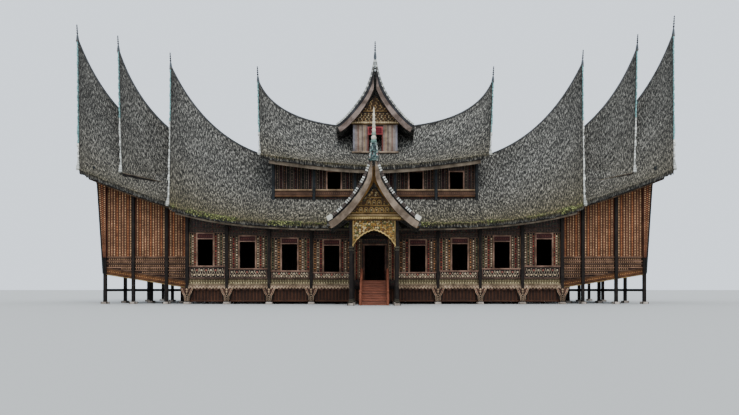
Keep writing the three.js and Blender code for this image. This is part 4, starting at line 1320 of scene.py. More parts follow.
def footing(x, y):
    """A stone block as a superellipse: the plan's radius is (|cos|^6 + |sin|^6) ^ (-1/6)."""
    angle = np.linspace(0, 2 * math.pi, STONE_SIDES, endpoint=False)
    reach = (np.abs(np.cos(angle)) ** 6 + np.abs(np.sin(angle)) ** 6) ** (-1 / 6)
    levels = np.array([(1.0, 0.0), (1.04, 0.3), (1.0, 0.8), (0.9, 1.0)])
    ring = np.stack([reach * np.cos(angle), reach * np.sin(angle), 0 * angle], -1) * STONE_HALF
    points = ring[None] * levels[:, :1, None] + np.array((0, 0, STONE_HEIGHT)) * levels[:, 1:, None]
    uv = np.stack([points[..., 0] + points[..., 2], points[..., 1]], -1)
    caps = np.stack([np.arange(STONE_SIDES)[::-1], 3 * STONE_SIDES + np.arange(STONE_SIDES)])
    faces = [grid_quads(4, STONE_SIDES, around=True), caps]
    return patch(points + np.array((x, y, 0)), faces, uv, (190, 178, 166))


WING_POSTS = np.array([20.0, 23.2, 25.91])
stones = [footing(x, -0.14) for x in POST_LINES]
stones += [footing(x, y) for x in WING_POSTS for y in (0.66, 5.0)]
stones = four_ways(stones) + both_sides([footing(2.0, -5.0), footing(2.0, -1.0)])
new_piece("footing_stones", stones, WEATHERED_BOARD)
print("below the floor", *(TRIANGLES[name] for name in ("sill_trim", "screen_slats", "footing_stones")))

# %% [markdown]
# ## The wings
# The wing walls are close rows of orange laths with columns of gold lozenges between them.
# Their heads follow the underside of the outer roof and their feet the sloping floor. Both
# lines are known formulas, so each lath is cut to length by them: the roof's share v where
# it stands over the lath is found by halving, and that gives the height.

# %% Heights over and under the wing walls
LATH_BROWN, RAIL_TINT = (120, 72, 50), (1.0, 0.77, 0.62)
LOZENGES = np.array([colour(242, 192, 140), colour(210, 136, 84), colour(230, 182, 134),
                     colour(218, 164, 118)])
WING_FRONT = 0.8
LATH_FOOT = 4.5


def roof_over(surface, drop, x, y):
    """Height of the underside of a roof whose ridge runs along x, over points (x, y)."""
    x, y = np.broadcast_arrays(np.asarray(x, float), np.asarray(y, float))
    t = np.zeros(x.shape)
    for _ in range(12):
        v = share_at(surface, lambda p: np.abs(p[..., 0]) > np.abs(x), t)
        half = np.abs(surface(v, 1.0)[..., 1] - RIDGE_Y)
        t = np.clip((y - RIDGE_Y) / half, -1, 1)
    return surface(v, t)[..., 2] - drop(v, t)


def wing_foot(x):
    """The sloping lower edge of the wing walls, from the hall's corner to the end."""
    return mix(1.6, 2.92, (x - 17.9) / (26.07 - 17.9))


def wall_end_x(z):
    """How far out the leaning end wall stands at a height, up to the foot of its gable."""
    return 26.05 + 0.065 * (z - 3.05)


def wing_edge_x(z):
    """How far out the wing's edge stands: with the end wall, then with the gable over it."""
    return np.where(z < 12, wall_end_x(z), plane_x(OUTER_GABLE, z))


# %% Laths and lozenges of the long wing walls
WING_BAYS = [(17.98, 19.8), (20.2, 23.0), (23.4, 25.74)]
WING_RAILS = [(4.5, 0.1, 0.16, 140), (4.12, 0.06, 0.13, 186), (3.84, 0.06, 0.14, 130),
              (3.5, 0.06, 0.13, 186), (3.2, 0.08, 0.14, 130), (2.86, 0.06, 0.14, 150),
              (2.52, 0.06, 0.14, 130)]
laths, lozenges, wing_base = [], [], []
surface = ROOFS[1, "outer"][0]
for left, right in WING_BAYS:
    lines = np.linspace(left, right, round((right - left) / 0.265) + 1)
    middles = between(lines)
    tops = roof_over(surface, horn_drop, lines, WING_FRONT) - 0.1
    laths.append(upright(lines, LATH_FOOT, tops, 0.065, 0.08, WING_FRONT, LATH_BROWN))
    tops = roof_over(surface, horn_drop, middles, WING_FRONT) - 0.15
    for first, dip in ((0, 0.42), (1, 0.6)):
        lozenges.append(stud_columns(middles[first::2], LATH_FOOT, tops[first::2], 0.125, 0.084,
                                     WING_FRONT - 0.005, LOZENGES[first::2], seed=int(left), dip=dip))
    for z, height, thick, shade in WING_RAILS:
        end = min(right, 17.9 + (z - 2.12) / 1.32 * 8.17)
        if end < left + 0.3:
            continue
        paint = np.multiply(shade, RAIL_TINT)
        wing_base.append(rail(left - 0.05, end + 0.05, z, height, thick, WING_FRONT, paint))
        x = np.arange(left + 0.14, end - 0.05, 0.2)
        if z < LATH_FOOT:
            lozenges.append(carve(x, WING_FRONT - 0.065, z + 0.17, 0.08, (176, 136, 100), 4, 0.8))
    wing_base.append(rail(left, right, 3.86, 1.2, 0.06, WING_FRONT, (66, 44, 34)))
print("laths cut between", LATH_FOOT, "and", round(tops.min(), 2), "to", round(tops.max(), 2))

# %% The sloping board below the wing: rise, height, thickness and paint of its layers
SLOPING_SPANS = ((17.95, 19.86), (20.14, 23.06), (23.34, 25.77))
SLOPING_LAYERS = ((-0.02, 0.58, 0.12, (82, 50, 32)), (0.08, 0.1, 0.15, (112, 72, 44)),
                  (0.38, 0.08, 0.15, (122, 82, 50)), (-0.1, 0.1, 0.2, (156, 128, 84)),
                  (0.52, 0.06, 0.17, (104, 76, 54)))


def sloping_board(x0, x1, rise, height, thick, paint):
    """A board that follows the sloping lower edge of the wing wall."""
    ends = [(x, WING_FRONT, wing_foot(x) + rise + height / 2) for x in (x0, x1)]
    return bars(ends[0], ends[1], UP, OUT, plank(height, thick), paint)


for x0, x1 in SLOPING_SPANS:
    wing_base += [sloping_board(x0, x1, *layer) for layer in SLOPING_LAYERS]
    x = np.arange(x0 + 0.12, x1 - 0.05, 0.17)
    lozenges.append(carve(x, WING_FRONT - 0.125, wing_foot(x) + 0.28, 0.075, (172, 120, 70), 6, 0.7))

# %% The leaning post at the wing's corner, and the boarded wedge behind it
# The leaning edge stands past the last upright post, so a face closes the wedge between
# them, lathed like the wall.
heights = np.linspace(2.9, 13.2, 12)
corner = row(wing_edge_x(heights) - 0.02, WING_FRONT - 0.02, heights)
corner_post = moulding(corner, RIGHT, OUT, oblong(-0.1, 0.05, 0, 0.36), (34, 38, 38))

box_top = float(roof_over(surface, horn_drop, 26.2, 0.6)) - 0.12
heights = np.linspace(4.45, box_top, 12)
edge_x = wing_edge_x(heights) - 0.08
face = np.stack([row(25.75, 0.47, heights), row(edge_x, 0.47, heights)], 1)
for share in (0.0, 0.34, 0.67, 1.0):
    line = row(mix(25.79, edge_x - 0.03, share), 0.47, heights)
    laths.append(moulding(line, RIGHT, OUT, oblong(-0.025, 0.025, 0, 0.05), LATH_BROWN))
for number, share in enumerate((0.17, 0.5, 0.83)):
    z = np.arange(4.6 + 0.09 * (number % 2), box_top - 0.1, 0.19)
    x = mix(25.79, np.interp(z, heights, edge_x), share)
    shade = by_turns(LOZENGES[number], len(z), 0.7)
    shade[:, 3] = 1.0
    lozenges.append(carve(x, 0.465, z, mix(0.05, 0.088, (z - 4.6) / 7.8), shade, 4, 0.8))
laths.append(closed_sheet(face, face + (0, 0.3, 0), face[..., [0, 2]], (54, 32, 24)))
new_piece("wing_laths", four_ways(laths), PAINTED_WOOD)
new_piece("wing_lozenges", four_ways(lozenges), PAINTED_WOOD, smooth=20)
new_piece("wing_boards", four_ways(wing_base), WEATHERED_BOARD)
new_piece("wing_corner_posts", four_ways([corner_post]), PAINTED_WOOD)
print("wing triangles", *(TRIANGLES[name] for name in ("wing_laths", "wing_lozenges", "wing_boards")))

# %% [markdown]
# ## End walls and gables
# The photograph doesn't show the ends, so they repeat the wing's laths and boards. The laths
# lean with the wall, and above it the gable is closed by level clapboards between carved
# bands. A gable's outline is where the leaning plane meets the roof's underside, found at
# each line t across the roof.

# %% A gable's outline and its clapboards
def gable_outline(surface, drop, plane, side):
    """y and underside height along a leaning gable plane, eave to eave."""
    t = np.linspace(-1, 1, 121)
    v = share_at(surface, lambda p: side * p[..., 0] > plane_x(plane, p[..., 2] - THATCH), t)
    point = surface(v, t)
    return point[:, 1], point[:, 2] - drop(v, t)


def leaning(side, run, rise):
    """Unit vectors up a leaning wall, and square out of it."""
    lean = unit(np.array([side * run, 0.0, rise]))
    return lean, np.array([side * lean[2], 0.0, -side * lean[0]])


CLAPBOARD, CLAPBOARD_THICK = 0.32, 0.07


def clapboards(outline, plane, side, z0, paint_low, paint_high):
    """Level boards across a gable, each as long as the outline is wide at its height. Like
    real clapboards, every board's foot stands prouder than its head."""
    y, z = outline
    levels = np.arange(z0, z.max() - 0.5, CLAPBOARD)
    half = np.array([np.abs(y[z > top] - RIDGE_Y).max(initial=0) for top in levels + CLAPBOARD])
    half = np.minimum(half, 7.1) - 0.12
    levels, half = levels[half > 0.15], half[half > 0.15]
    x = side * plane_x(plane, levels)
    section = [(0, 0), (CLAPBOARD * 0.98, 0), (CLAPBOARD * 0.98, CLAPBOARD_THICK * 0.35),
               (0, CLAPBOARD_THICK)]
    shade = np.random.default_rng(3).uniform(0.8, 1.15, len(levels))[:, None]
    pale = (np.arange(len(levels)) % 4 == 3)[:, None]
    tone = mix(np.array(colour(*paint_low)), np.array(colour(*paint_high)), pale)
    lean, outward = leaning(side, plane[1][0] - plane[0][0], plane[1][1] - plane[0][1])
    return bars(row(x, RIDGE_Y - half, levels), row(x, RIDGE_Y + half, levels), lean, outward, section,
                np.clip(tone * shade, 0, 1))


# %% Leaning laths and level boards of the end walls
END_RAILS = ((4.5, 0.12, 0.14, (104, 76, 56)), (4.02, 0.09, 0.12, (104, 76, 56)),
             (3.6, 0.09, 0.12, (104, 76, 56)), (3.16, 0.12, 0.14, (172, 150, 116)),
             (12.1, 0.22, 0.2, (150, 128, 96)))
ALONG_END = (0, 1, 0)
gable_boards, end_laths = [], []
for side in (-1, 1):
    outline = gable_outline(ROOFS[side, "outer"][0], horn_drop, OUTER_GABLE, side)
    gable_boards.append(clapboards(outline, OUTER_GABLE, side, 12.3, (118, 76, 48), (160, 120, 72)))
    lean, outward = leaning(side, 0.065, 1.0)
    lines = np.linspace(1.0, 15.0, 57)
    head = np.maximum(np.minimum(np.interp(lines, *outline) - 0.1, 11.95), 5.0)
    starts = row(side * wall_end_x(LATH_FOOT), lines, LATH_FOOT)
    ends = row(side * wall_end_x(head), lines, head)
    end_laths.append(bars(starts, ends, ALONG_END, outward, plank(0.05, 0.08), LATH_BROWN))
    for number, (at, top) in enumerate(zip(between(lines), np.minimum(head[:-1], head[1:]))):
        z = np.arange(4.65 + 0.1 * (number % 2), top - 0.1, 0.2)
        shade = by_turns(LOZENGES[number % 4], len(z), 0.7)
        shade[:, 3] = 1.0
        spots = row(side * wall_end_x(z), at, z)
        end_laths.append(studs(spots, ALONG_END, lean, outward, 0.09, 0.8, 4, paint=shade))
    for z, height, thick, paint in END_RAILS:
        x = side * float(wall_end_x(min(z, 12)))
        board = plank(height, thick)
        gable_boards.append(bars((x, 0.85, z), (x, 15.15, z), lean, outward, board, paint))

# %% Clapboards of the inner gables
for side in (-1, 1):
    for kind, plane, foot in (("middle", MIDDLE_GABLE, 12.6), ("inner", INNER_GABLE, 10.2)):
        outline = gable_outline(ROOFS[side, kind][0], horn_drop, plane, side)
        gable_boards.append(clapboards(outline, plane, side, foot, (112, 74, 48), (156, 118, 72)))
new_piece("gable_clapboards", gable_boards, WEATHERED_BOARD)
new_piece("end_wall_laths", end_laths, PAINTED_WOOD, smooth=20)
print("gables", TRIANGLES["gable_clapboards"], "end walls", TRIANGLES["end_wall_laths"])

# %% [markdown]
# ## Upper storey
# Over the hall a second storey shows as one band of dark posts, carved strips and windows
# between the eave above and a pale rail below. A brown board slopes out under the rail to
# throw rain on the thatch.

# %% Where the upper storey's parts are
UPPER_Y = 3.0
UPPER_SILL, UPPER_HEAD = 11.3, 13.15
UPPER_POSTS = np.array([-10.16, -6.1, -2.0, 2.0, 6.1, 10.16])
UPPER_WINDOWS = {-4.1: (-6.1, -2.0), 4.1: (2.0, 6.1), 8.15: (6.1, 10.16)}


def upper_under(x):
    """Underside of the upper roof over the storey's front wall."""
    t = (UPPER_Y - RIDGE_Y) / UPPER_EAVE_HALF
    v = share_at(upper_surface, lambda p: p[..., 0] > np.abs(x), t + 0 * np.abs(x))
    return upper_surface(v, t)[..., 2] - THATCH


# %% Carved strips for the spaces between its posts
# The upper storey's inks at a third of their brightness: painted shade under the deep eave of the upper
# roof.
SHADED_INKS = INKS * (0.3, 0.3, 0.3, 1)


def carved_span(x0, x1, top, seed):
    """Laths with boards between them, and the studs on those boards."""
    foot, count = UPPER_SILL + 0.1, max(2, round((x1 - x0) / 0.36))
    lines = np.linspace(x0 + 0.03, x1 - 0.03, count + 1)
    middles, strip = between(lines), (x1 - x0) / count - 0.07
    wood = [upright(lines, foot, top, 0.05, 0.08, UPPER_Y, (120, 100, 88)),
            upright(middles, foot, top, strip, 0.02, UPPER_Y, CARVE_GROUND)]
    return wood, stud_columns(middles, foot, top, 0.17, 0.075, UPPER_Y - 0.02, SHADED_INKS, seed=seed)


# %% Posts, windows, rails and the sloping board
BOARD_DOWN, BOARD_OUT = (0, -0.35, -0.94), (0, -0.94, 0.35)
timber = [upright(UPPER_POSTS, 10.3, upper_under(UPPER_POSTS), 0.3, 0.24, UPPER_Y, (44, 48, 50))]
strips, painted = [], []
for left, right in zip(UPPER_POSTS[:-1] + 0.17, UPPER_POSTS[1:] - 0.17):
    middle = (left + right) / 2
    top = float(upper_under(middle)) - 0.32
    window = next((x for x, span in UPPER_WINDOWS.items() if span[0] < middle < span[1]), None)
    spans = [(left, right)] if window is None else [(left, window - 0.78), (window + 0.78, right)]
    for x0, x1 in spans:
        wood, carved = carved_span(x0, x1, top, int(10 * left) + 300)
        strips += wood
        painted.append(carved)
    if window is not None:
        jambs = window + np.array([-0.72, 0.72])
        timber.append(upright(jambs, UPPER_SILL, UPPER_HEAD + 0.1, 0.12, 0.12, UPPER_Y, FRAME_PALE))
        timber += rails(window - 0.78, window + 0.78, UPPER_Y, (UPPER_HEAD + 0.05, 0.12, 0.13, FRAME_PALE))
    timber.append(rail(left, right, UPPER_SILL + 0.02, 0.16, 0.22, UPPER_Y, (160, 134, 104)))
    ends = row(np.array([left, right]), UPPER_Y - 0.06, UPPER_SILL - 0.1)
    timber.append(bars(ends[0], ends[1], BOARD_DOWN, BOARD_OUT, oblong(0, 0.5, 0, 0.06), (76, 52, 38)))
    timber += rails(left, right, UPPER_Y, (UPPER_SILL - 0.6, 0.07, 0.3, (140, 100, 68)),
                    (top, 0.09, 0.1, (88, 70, 58)))
    x = np.arange(left + 0.1, right, 0.2)
    painted.append(carve(x, UPPER_Y - 0.19, UPPER_SILL - 0.32, 0.07, (150, 110, 78), 4, 0.8))
new_piece("upper_timber", front_and_rear(timber), WEATHERED_BOARD)
new_piece("upper_strips", front_and_rear(strips), WEATHERED_BOARD)
new_piece("upper_studs", front_and_rear(painted), PAINTED_WOOD, smooth=20)
print("upper storey", sum(TRIANGLES[n] for n in ("upper_timber", "upper_strips", "upper_studs")))

# %% [markdown]
# ## Top room
# A small room rides on the upper ridge. Its front has tan upright boards, pale corner posts,
# a red valance over the window, and above a gilded cornice a gable filled with carving.

# %% Width of a gable at each height, and rows of studs that fill it
def gable_half_width(surface, drop, y, middle_y, reach):
    """Half width of the space under a small roof, as a function of height, at the plane reach away from
    middle_y. The argument y is not used.
    """
    t = np.linspace(0, 1, 80)
    v = share_at(surface, lambda p: np.abs(p[..., 1] - middle_y) > reach, t)
    point = surface(v, t)
    x, z = np.abs(point[:, 0]), point[:, 2] - drop(v, t)
    order = z.argsort()
    return lambda height: np.interp(height, z[order], x[order])


def gable_rows(half_width, z0, z1, pitch, margin, y, radius, inks, points=8, pinch=0.5):
    """Level rows of studs, each row as wide as the gable there, less a margin."""
    centres = []
    for number, z in enumerate(np.arange(z0, z1, pitch)):
        half = float(half_width(z)) - margin
        if half < 0.05:
            continue
        count = max(1, round(2 * half / pitch) + number % 2)
        x = np.linspace(-half, half, count) if count > 1 else np.zeros(1)
        centres.append(row(x, y, z))
    centres = np.concatenate(centres)
    shades = inks[np.arange(len(centres)) * 7 % len(inks)]
    return studs(centres, RIGHT, UP, OUT, radius, pinch, points, paint=shades)


# %% Boards, posts and window of the top room
TOP_Y = 5.0
CORNICE_Z = 18.62
WINDOW_RED, PALE_POST = (196, 92, 92), (140, 136, 142)
BOARD_TONES = np.array([colour(138, 118, 108), colour(164, 140, 112), colour(124, 108, 98),
                        colour(170, 152, 132), colour(140, 112, 98), colour(150, 138, 132)])
top_wood = []
for side in (-1, 1):
    lines = side * np.linspace(0.9, 1.98, 6)
    posts = ((lines, 15.66, CORNICE_Z - 0.12, 0.19, 0.06, BOARD_TONES),
             (lines + side * 0.1, 15.66, CORNICE_Z - 0.12, 0.04, 0.1, (172, 156, 142)),
             (side * 2.2, 15.5, CORNICE_Z - 0.05, 0.22, 0.14, PALE_POST),
             (side * 0.74, 15.6, 17.45, 0.1, 0.1, (120, 62, 54)),
             (side * 0.72, 17.4, 18.2, 0.1, 0.14, WINDOW_RED))
    for x, z0, z1, width, thick, paint in posts:
        top_wood.append(upright(x, z0, z1, width, thick, TOP_Y, paint))
top_wood += [rail(-2.4, 2.4, 15.58, 0.18, 0.24, TOP_Y, (158, 138, 118)),
             rail(-2.45, 2.45, CORNICE_Z, 0.2, 0.3, TOP_Y, (186, 160, 120)),
             rail(-2.4, 2.4, CORNICE_Z - 0.16, 0.1, 0.16, TOP_Y, (98, 76, 54))]
top_wood += rails(-0.78, 0.78, TOP_Y, (17.46, 0.09, 0.14, WINDOW_RED), (18.18, 0.09, 0.14, WINDOW_RED))
valance = rail(-0.7, 0.7, 17.82, 0.64, 0.05, TOP_Y - 0.03, (112, 30, 40))

# %% Carving of the top room's gable
GILT = np.array([colour(186, 152, 102), colour(116, 86, 54), colour(204, 182, 138), colour(92, 70, 46)])
top_width = gable_half_width(top_surface, barge_drop, TOP_Y, RIDGE_Y, RIDGE_Y - TOP_Y)
top_carving = [
    gable_rows(top_width, CORNICE_Z + 0.26, 19.75, 0.18, 0.2, TOP_Y - 0.02, 0.105, GILT),
    gable_rows(top_width, 19.95, 22.6, 0.17, 0.16, TOP_Y - 0.02, 0.095, GILT[[3, 1, 0]], 4, 1.0),
    carve(np.arange(-2.3, 2.31, 0.23), TOP_Y - 0.3, CORNICE_Z, 0.085, (214, 192, 150), 4, 1.0)]
half = float(top_width(19.84)) - 0.15
top_wood.append(rail(-half, half, 19.84, 0.1, 0.12, TOP_Y, (160, 128, 82)))
new_piece("top_room_boards", front_and_rear(top_wood + [valance]), WEATHERED_BOARD)
new_piece("top_room_carving", front_and_rear(top_carving), PAINTED_WOOD, smooth=20)


# %% Barge boards: the broad curved boards that follow a small roof's gable edge
SKY = (0.6, 0.0, 0.8)
SLOT_HALF = 0.14


def strip_along(path, normal, high, low, near, far, paint):
    """A board in the gable's plane, between two depths below its edge, high and low."""
    return moulding(path, OUT, normal, oblong(near, far, low, high), paint)


def barge_patches(surface, trim, gap, width, paint, apex_paint, edge_paint, rise, apex_board):
    """Right half of a gable edge as seen from the front, below its plates: a slate strip, a
    shadow gap, the barge board and its lip. The strip stands up by rise. Near the apex the
    board narrows, so that its inner edge keeps SLOT_HALF away from the axis and shows the
    soffit between the boards; once less than apex_board is left for it, the strip narrows.
    Its colour passes into apex_paint on the way up."""
    t = np.linspace(0.01, 0.995, 90)
    path = surface(1.0, t)
    normal = verge_frame(path, OUT, SKY)
    room = (path[:, 0] - SLOT_HALF) / np.maximum(normal[:, 0], 0.05)
    keep = room > 0.15
    path, normal, room, t = path[keep], normal[keep], room[keep], t[keep]
    fit = np.minimum(1.0, room / (trim + gap + apex_board))
    high, low = -trim * fit, -(trim + gap) * fit
    foot = np.maximum(low - width * mix(0.55, 1.0, np.clip(t * 1.6, 0, 1)), -room)
    slate = strip_along(path, normal, rise, high, -0.08, 0.07, edge_paint)
    shadow = strip_along(path, normal, high, low, -0.1, 0.05, (16, 15, 15))
    change = np.clip((room - 0.35) / 0.3, 0, 1)[:, None]
    paint = mix(np.array(colour(*apex_paint)), np.array(colour(*paint)), change)
    face = strip_along(path, normal, low, foot, -0.12, 0.12, paint)
    lip = strip_along(path, normal, foot + 0.06, foot, -0.12, 0.15, np.multiply(paint, (1.2, 1.2, 1.2, 1)))
    return [slate, shadow, face, lip]


# %% The barge boards of the top room and the porch
TOP_BARGE, PORCH_BARGE = (144, 126, 116), (146, 128, 110)
top_barge = barge_patches(top_surface, 0.36, 0.05, 0.5, TOP_BARGE, (52, 50, 50), (62, 62, 66), 0.05, 0.2)
porch_barge = barge_patches(porch_surface, 0.19, 0.15, 0.58, PORCH_BARGE, PORCH_BARGE, (100, 88, 80),
                            -0.04, 0.5)
barges = front_and_rear(both_sides(top_barge)) + both_sides(porch_barge)
new_piece("barge_boards", barges, WEATHERED_BOARD)

# %% The plates above the barge boards: dashes on the top room, white blocks on the porch
def dashed(share):
    """Pale plates near the eave. Further up white ones and tarnished ones take turns."""
    wear = np.random.default_rng(8).uniform(0.7, 1.0, len(share))
    tarnished = (share > 0.3) & (np.arange(len(share)) % 2 == 0)
    return np.clip(np.array(WHITE_PLATE) * np.where(tarnished, 0.3, wear)[:, None], 0, 1)


def grouped(share):
    """White blocks in groups of three, and purple-brown sections between the groups."""
    number = np.arange(len(share))
    white = (number % 5 < 3) | (share > 0.86)
    shades = np.where(white[:, None], WHITE_PLATE, colour(96, 84, 78))
    wear = np.random.default_rng(9).uniform(0.8, 1.05, len(share))
    return np.clip(shades * wear[:, None], 0, 1)


t = np.linspace(1.0, 0.02, 60)
dash_path = top_surface(1.0, t)
top_plates = plates(dash_path, OUT, 0.26, 0.86, lambda s: 0.13 + 0 * s, 0.18, 0.045, dashed, SKY)
block_path = porch_surface(1.0, t)
block_normal = verge_frame(block_path, OUT, SKY)
backing = strip_along(block_path, block_normal, 0.02, -0.2, -0.1, 0.05, (84, 74, 70))
blocks = plates(block_path, OUT, 0.21, 0.56, lambda s: 0.16 + 0 * s, 0.21, 0.05, grouped, SKY)
end_cap = bars(at_lengths(block_path, [0.02]), at_lengths(block_path, [0.5]), OUT, block_normal[:1],
               oblong(-0.2, 0.2, -0.28, 0.12), (226, 222, 206))
trim = both_sides([blocks, end_cap]) + front_and_rear(both_sides([top_plates]))
new_piece("gable_plates", trim, METAL_TRIM)
new_piece("porch_plate_backing", both_sides([backing]), WEATHERED_BOARD)

# %% The silver ornament in the top room's apex: a rosette under a short bar
apex_front = np.array((0.0, RIDGE_Y - 3.96, 23.75))
rosette = carve(*apex_front, 0.17, (212, 216, 214), 8, 0.55)
foot, head = apex_front + (0, 0, 0.22), apex_front + (0, 0, 0.8)
apex_bar = bars(foot, head, RIGHT, OUT, plank(0.1, 0.05), (196, 202, 200))
new_piece("top_room_ornament", front_and_rear([rosette, apex_bar]), METAL_TRIM)
print("barge boards and plates", TRIANGLES["barge_boards"], TRIANGLES["gable_plates"])

# %% [markdown]
# ## Porch
# The porch is the house's face: a gable filled with gilded carving in tiers, a cornice, and
# below it an openwork arch between two dark posts. Its spire was built up from turned rings
# covered in mirror mosaic. All of it is relief here, row by row, within the gable's outline.

# %% The gable's tiers of niches
PORCH_Y = -5.0 - 0.07
NICHE_SECTION = [(-0.04, 0), (0.04, 0), (0.02, 0.06), (-0.02, 0.06)]
porch_width = gable_half_width(porch_surface, barge_drop, -5.0, 0.0, 5.0)
porch_wood, porch_carving = [], []
TIERS = (7.98, 8.62, 9.3)
for number, z in enumerate(TIERS):
    half = float(porch_width(z)) - 0.12
    porch_wood.append(rail(-half, half, z, 0.1, 0.12, y=PORCH_Y, paint=(158, 126, 76)))
    if number == len(TIERS) - 1:
        continue
    half = float(porch_width(z + 0.5)) - 0.25
    niches = np.linspace(-half, half, max(3, round(2 * half / 0.42) + 1))
    middles = between(niches)
    reach = (niches[1] - niches[0]) * 0.34
    angle = np.linspace(0, math.pi, 9)
    for x in middles:
        arch = row(x + reach * np.cos(angle), PORCH_Y, z + 0.26 + 0.22 * np.sin(angle))
        arch = np.concatenate([[(x + reach, PORCH_Y, z + 0.08)], arch, [(x - reach, PORCH_Y, z + 0.08)]])
        porch_carving.append(front_moulding(arch, NICHE_SECTION, (182, 148, 88)))
    porch_carving.append(carve(middles, PORCH_Y, z + 0.27, 0.1, (208, 186, 140)))
porch_carving.append(gable_rows(porch_width, 9.52, 10.6, 0.22, 0.16, PORCH_Y, 0.12, GILT))

# %% The cornice and its dentils, and the arch's formula
porch_wood += rails(-2.32, 2.32, PORCH_Y, (7.4, 0.12, 0.16, (112, 84, 52)),
                    (7.55, 0.2, 0.3, (190, 160, 102)), (7.76, 0.12, 0.38, (176, 150, 110)))
dentils = np.arange(-2.2, 2.21, 0.2)
porch_wood.append(upright(dentils, 7.44, 7.62, 0.09, 0.36, y=PORCH_Y, paint=(206, 178, 120)))


def arch_height(x):
    """Lower edge of the arch panel: two quadratic curves from the posts up to the crown."""
    across, up = bezier([(1.86, 5.1), (1.36, 6.2), (0, 6.55)], np.linspace(0, 1, 60))
    return np.interp(np.abs(x), across[::-1], up[::-1])


# %% The arch's openwork: flowers packed on a jittered grid, and a scalloped golden edge
rng = np.random.default_rng(42)
x, z = np.meshgrid(np.arange(-1.74, 1.75, 0.17), np.arange(5.2, 7.3, 0.17))
x, z = (x + rng.uniform(-0.04, 0.04, x.shape)).ravel(), (z + rng.uniform(-0.04, 0.04, z.shape)).ravel()
keep = z > arch_height(x) + 0.16
FLOWER_INKS = np.array([colour(206, 168, 94), colour(186, 144, 68), colour(220, 198, 146),
                        colour(148, 108, 50), colour(98, 106, 58)])
shades = FLOWER_INKS[rng.integers(0, 5, keep.sum())]
radius = rng.uniform(0.085, 0.125, keep.sum())
porch_carving.append(carve(x[keep], PORCH_Y, z[keep], radius, shades, 10, 0.55, 0.5))
x = np.linspace(-1.84, 1.84, 97)
edge = row(x, PORCH_Y - 0.02, arch_height(x) + 0.05 - 0.07 * np.abs(np.sin(x * math.pi / 0.3)))
upwards = verge_frame(edge, OUT, sky=UP)
porch_wood.append(moulding(edge, upwards, OUT, oblong(-0.05, 0.05, -0.02, 0.08), (204, 172, 108)))
for side in (-1, 1):
    porch_wood.append(upright(side * 1.8, 5.05, 7.3, 0.08, 0.09, y=PORCH_Y, paint=(190, 158, 98)))
new_piece("porch_boards", porch_wood, WEATHERED_BOARD)
new_piece("porch_carving", porch_carving, PAINTED_WOOD, smooth=20)

# %% The golden soffit under the porch roof's nose
v, t = np.meshgrid(np.linspace(0.83, 0.985, 10), np.linspace(-0.96, 0.96, 49), indexing="ij")
ceiling = lowered(porch_surface(v, t), barge_drop(v, t) + 0.02)
floor_side = lowered(ceiling, 0.05 + 0 * v)
soffit = closed_sheet(ceiling, floor_side, np.stack([t * 4, v * 6], -1), (150, 112, 60))
new_piece("porch_soffit", [soffit], WEATHERED_BOARD)

# %% The spire's finish: mirror mosaic
def mosaic_finish():
    """Mirror mosaic: small square tiles in silver, blue-green, white and a few reds, with dark joints, laid
    out in the piece's object coordinates."""
    material, tree, shader = start_finish("mirror_mosaic", 0.3, 0.35)
    cells = tree.nodes.new("ShaderNodeTexVoronoi")
    cells.distance = "CHEBYCHEV"
    cells.inputs["Randomness"].default_value = 0.5
    cells.inputs["Scale"].default_value = 16.0
    tree.links.new(place(tree), cells.inputs["Vector"])
    split = tree.nodes.new("ShaderNodeSeparateColor")
    tree.links.new(cells.outputs["Color"], split.inputs[0])
    shades = [(0.0, colour(212, 214, 206)), (0.34, colour(84, 126, 122)), (0.52, colour(140, 150, 148)),
              (0.72, colour(46, 66, 66)), (0.95, colour(158, 72, 62))]
    tiles = ramp(tree, split.outputs[0], shades, steps=True)
    joint = tones(tree, cells.outputs["Distance"], (0.36, 1.0), (0.5, 0.3))
    shaded = times(tree, tiles, paint_colour(tree))
    tree.links.new(times(tree, shaded, joint), shader.inputs["Base Color"])
    emboss(tree, shader, joint, 0.004)
    return material


def collar(z, radius, height):
    """A rounded ring in the profile."""
    low, high = z + height * 0.25, z + height * 0.75
    return [(radius * 0.86, z), (radius, low), (radius, high), (radius * 0.86, z + height)]


# %% The spire's cone and collars, with a painted reflection: darker where they face the front
SPIRE_FOOT = np.array((0.0, -6.6, 0.0))
PALE_MOSAIC, DARK_MOSAIC = np.array((0.95, 1.0, 0.96, 1.0)), np.array((0.2, 0.29, 0.29, 1.0))
cone = [(0, 12.1), (0.38, 12.1), (0.43, 12.24)] + collar(12.26, 0.46, 0.12) + [(0.42, 12.42), (0.39, 12.75)]
cone += collar(12.8, 0.4, 0.1) + [(0.36, 12.95), (0.29, 13.45)] + collar(13.5, 0.31, 0.12) + [(0, 13.66)]
cone = turned(cone, SPIRE_FOOT, sides=24)
# Painted reflection: mirror tiles facing front and back are painted dark teal, those at the sides pale.
around = cone["points"] - SPIRE_FOOT
facing = np.abs(around[:, 1]) / np.maximum(np.hypot(around[:, 0], around[:, 1]), 0.01)
painted_reflection = np.clip((facing - 0.7) / 0.2, 0, 1)[:, None]
cone["paint"] = mix(PALE_MOSAIC, DARK_MOSAIC, painted_reflection)
new_piece("porch_spire", [cone], mosaic_finish(), ["porch_finial"])

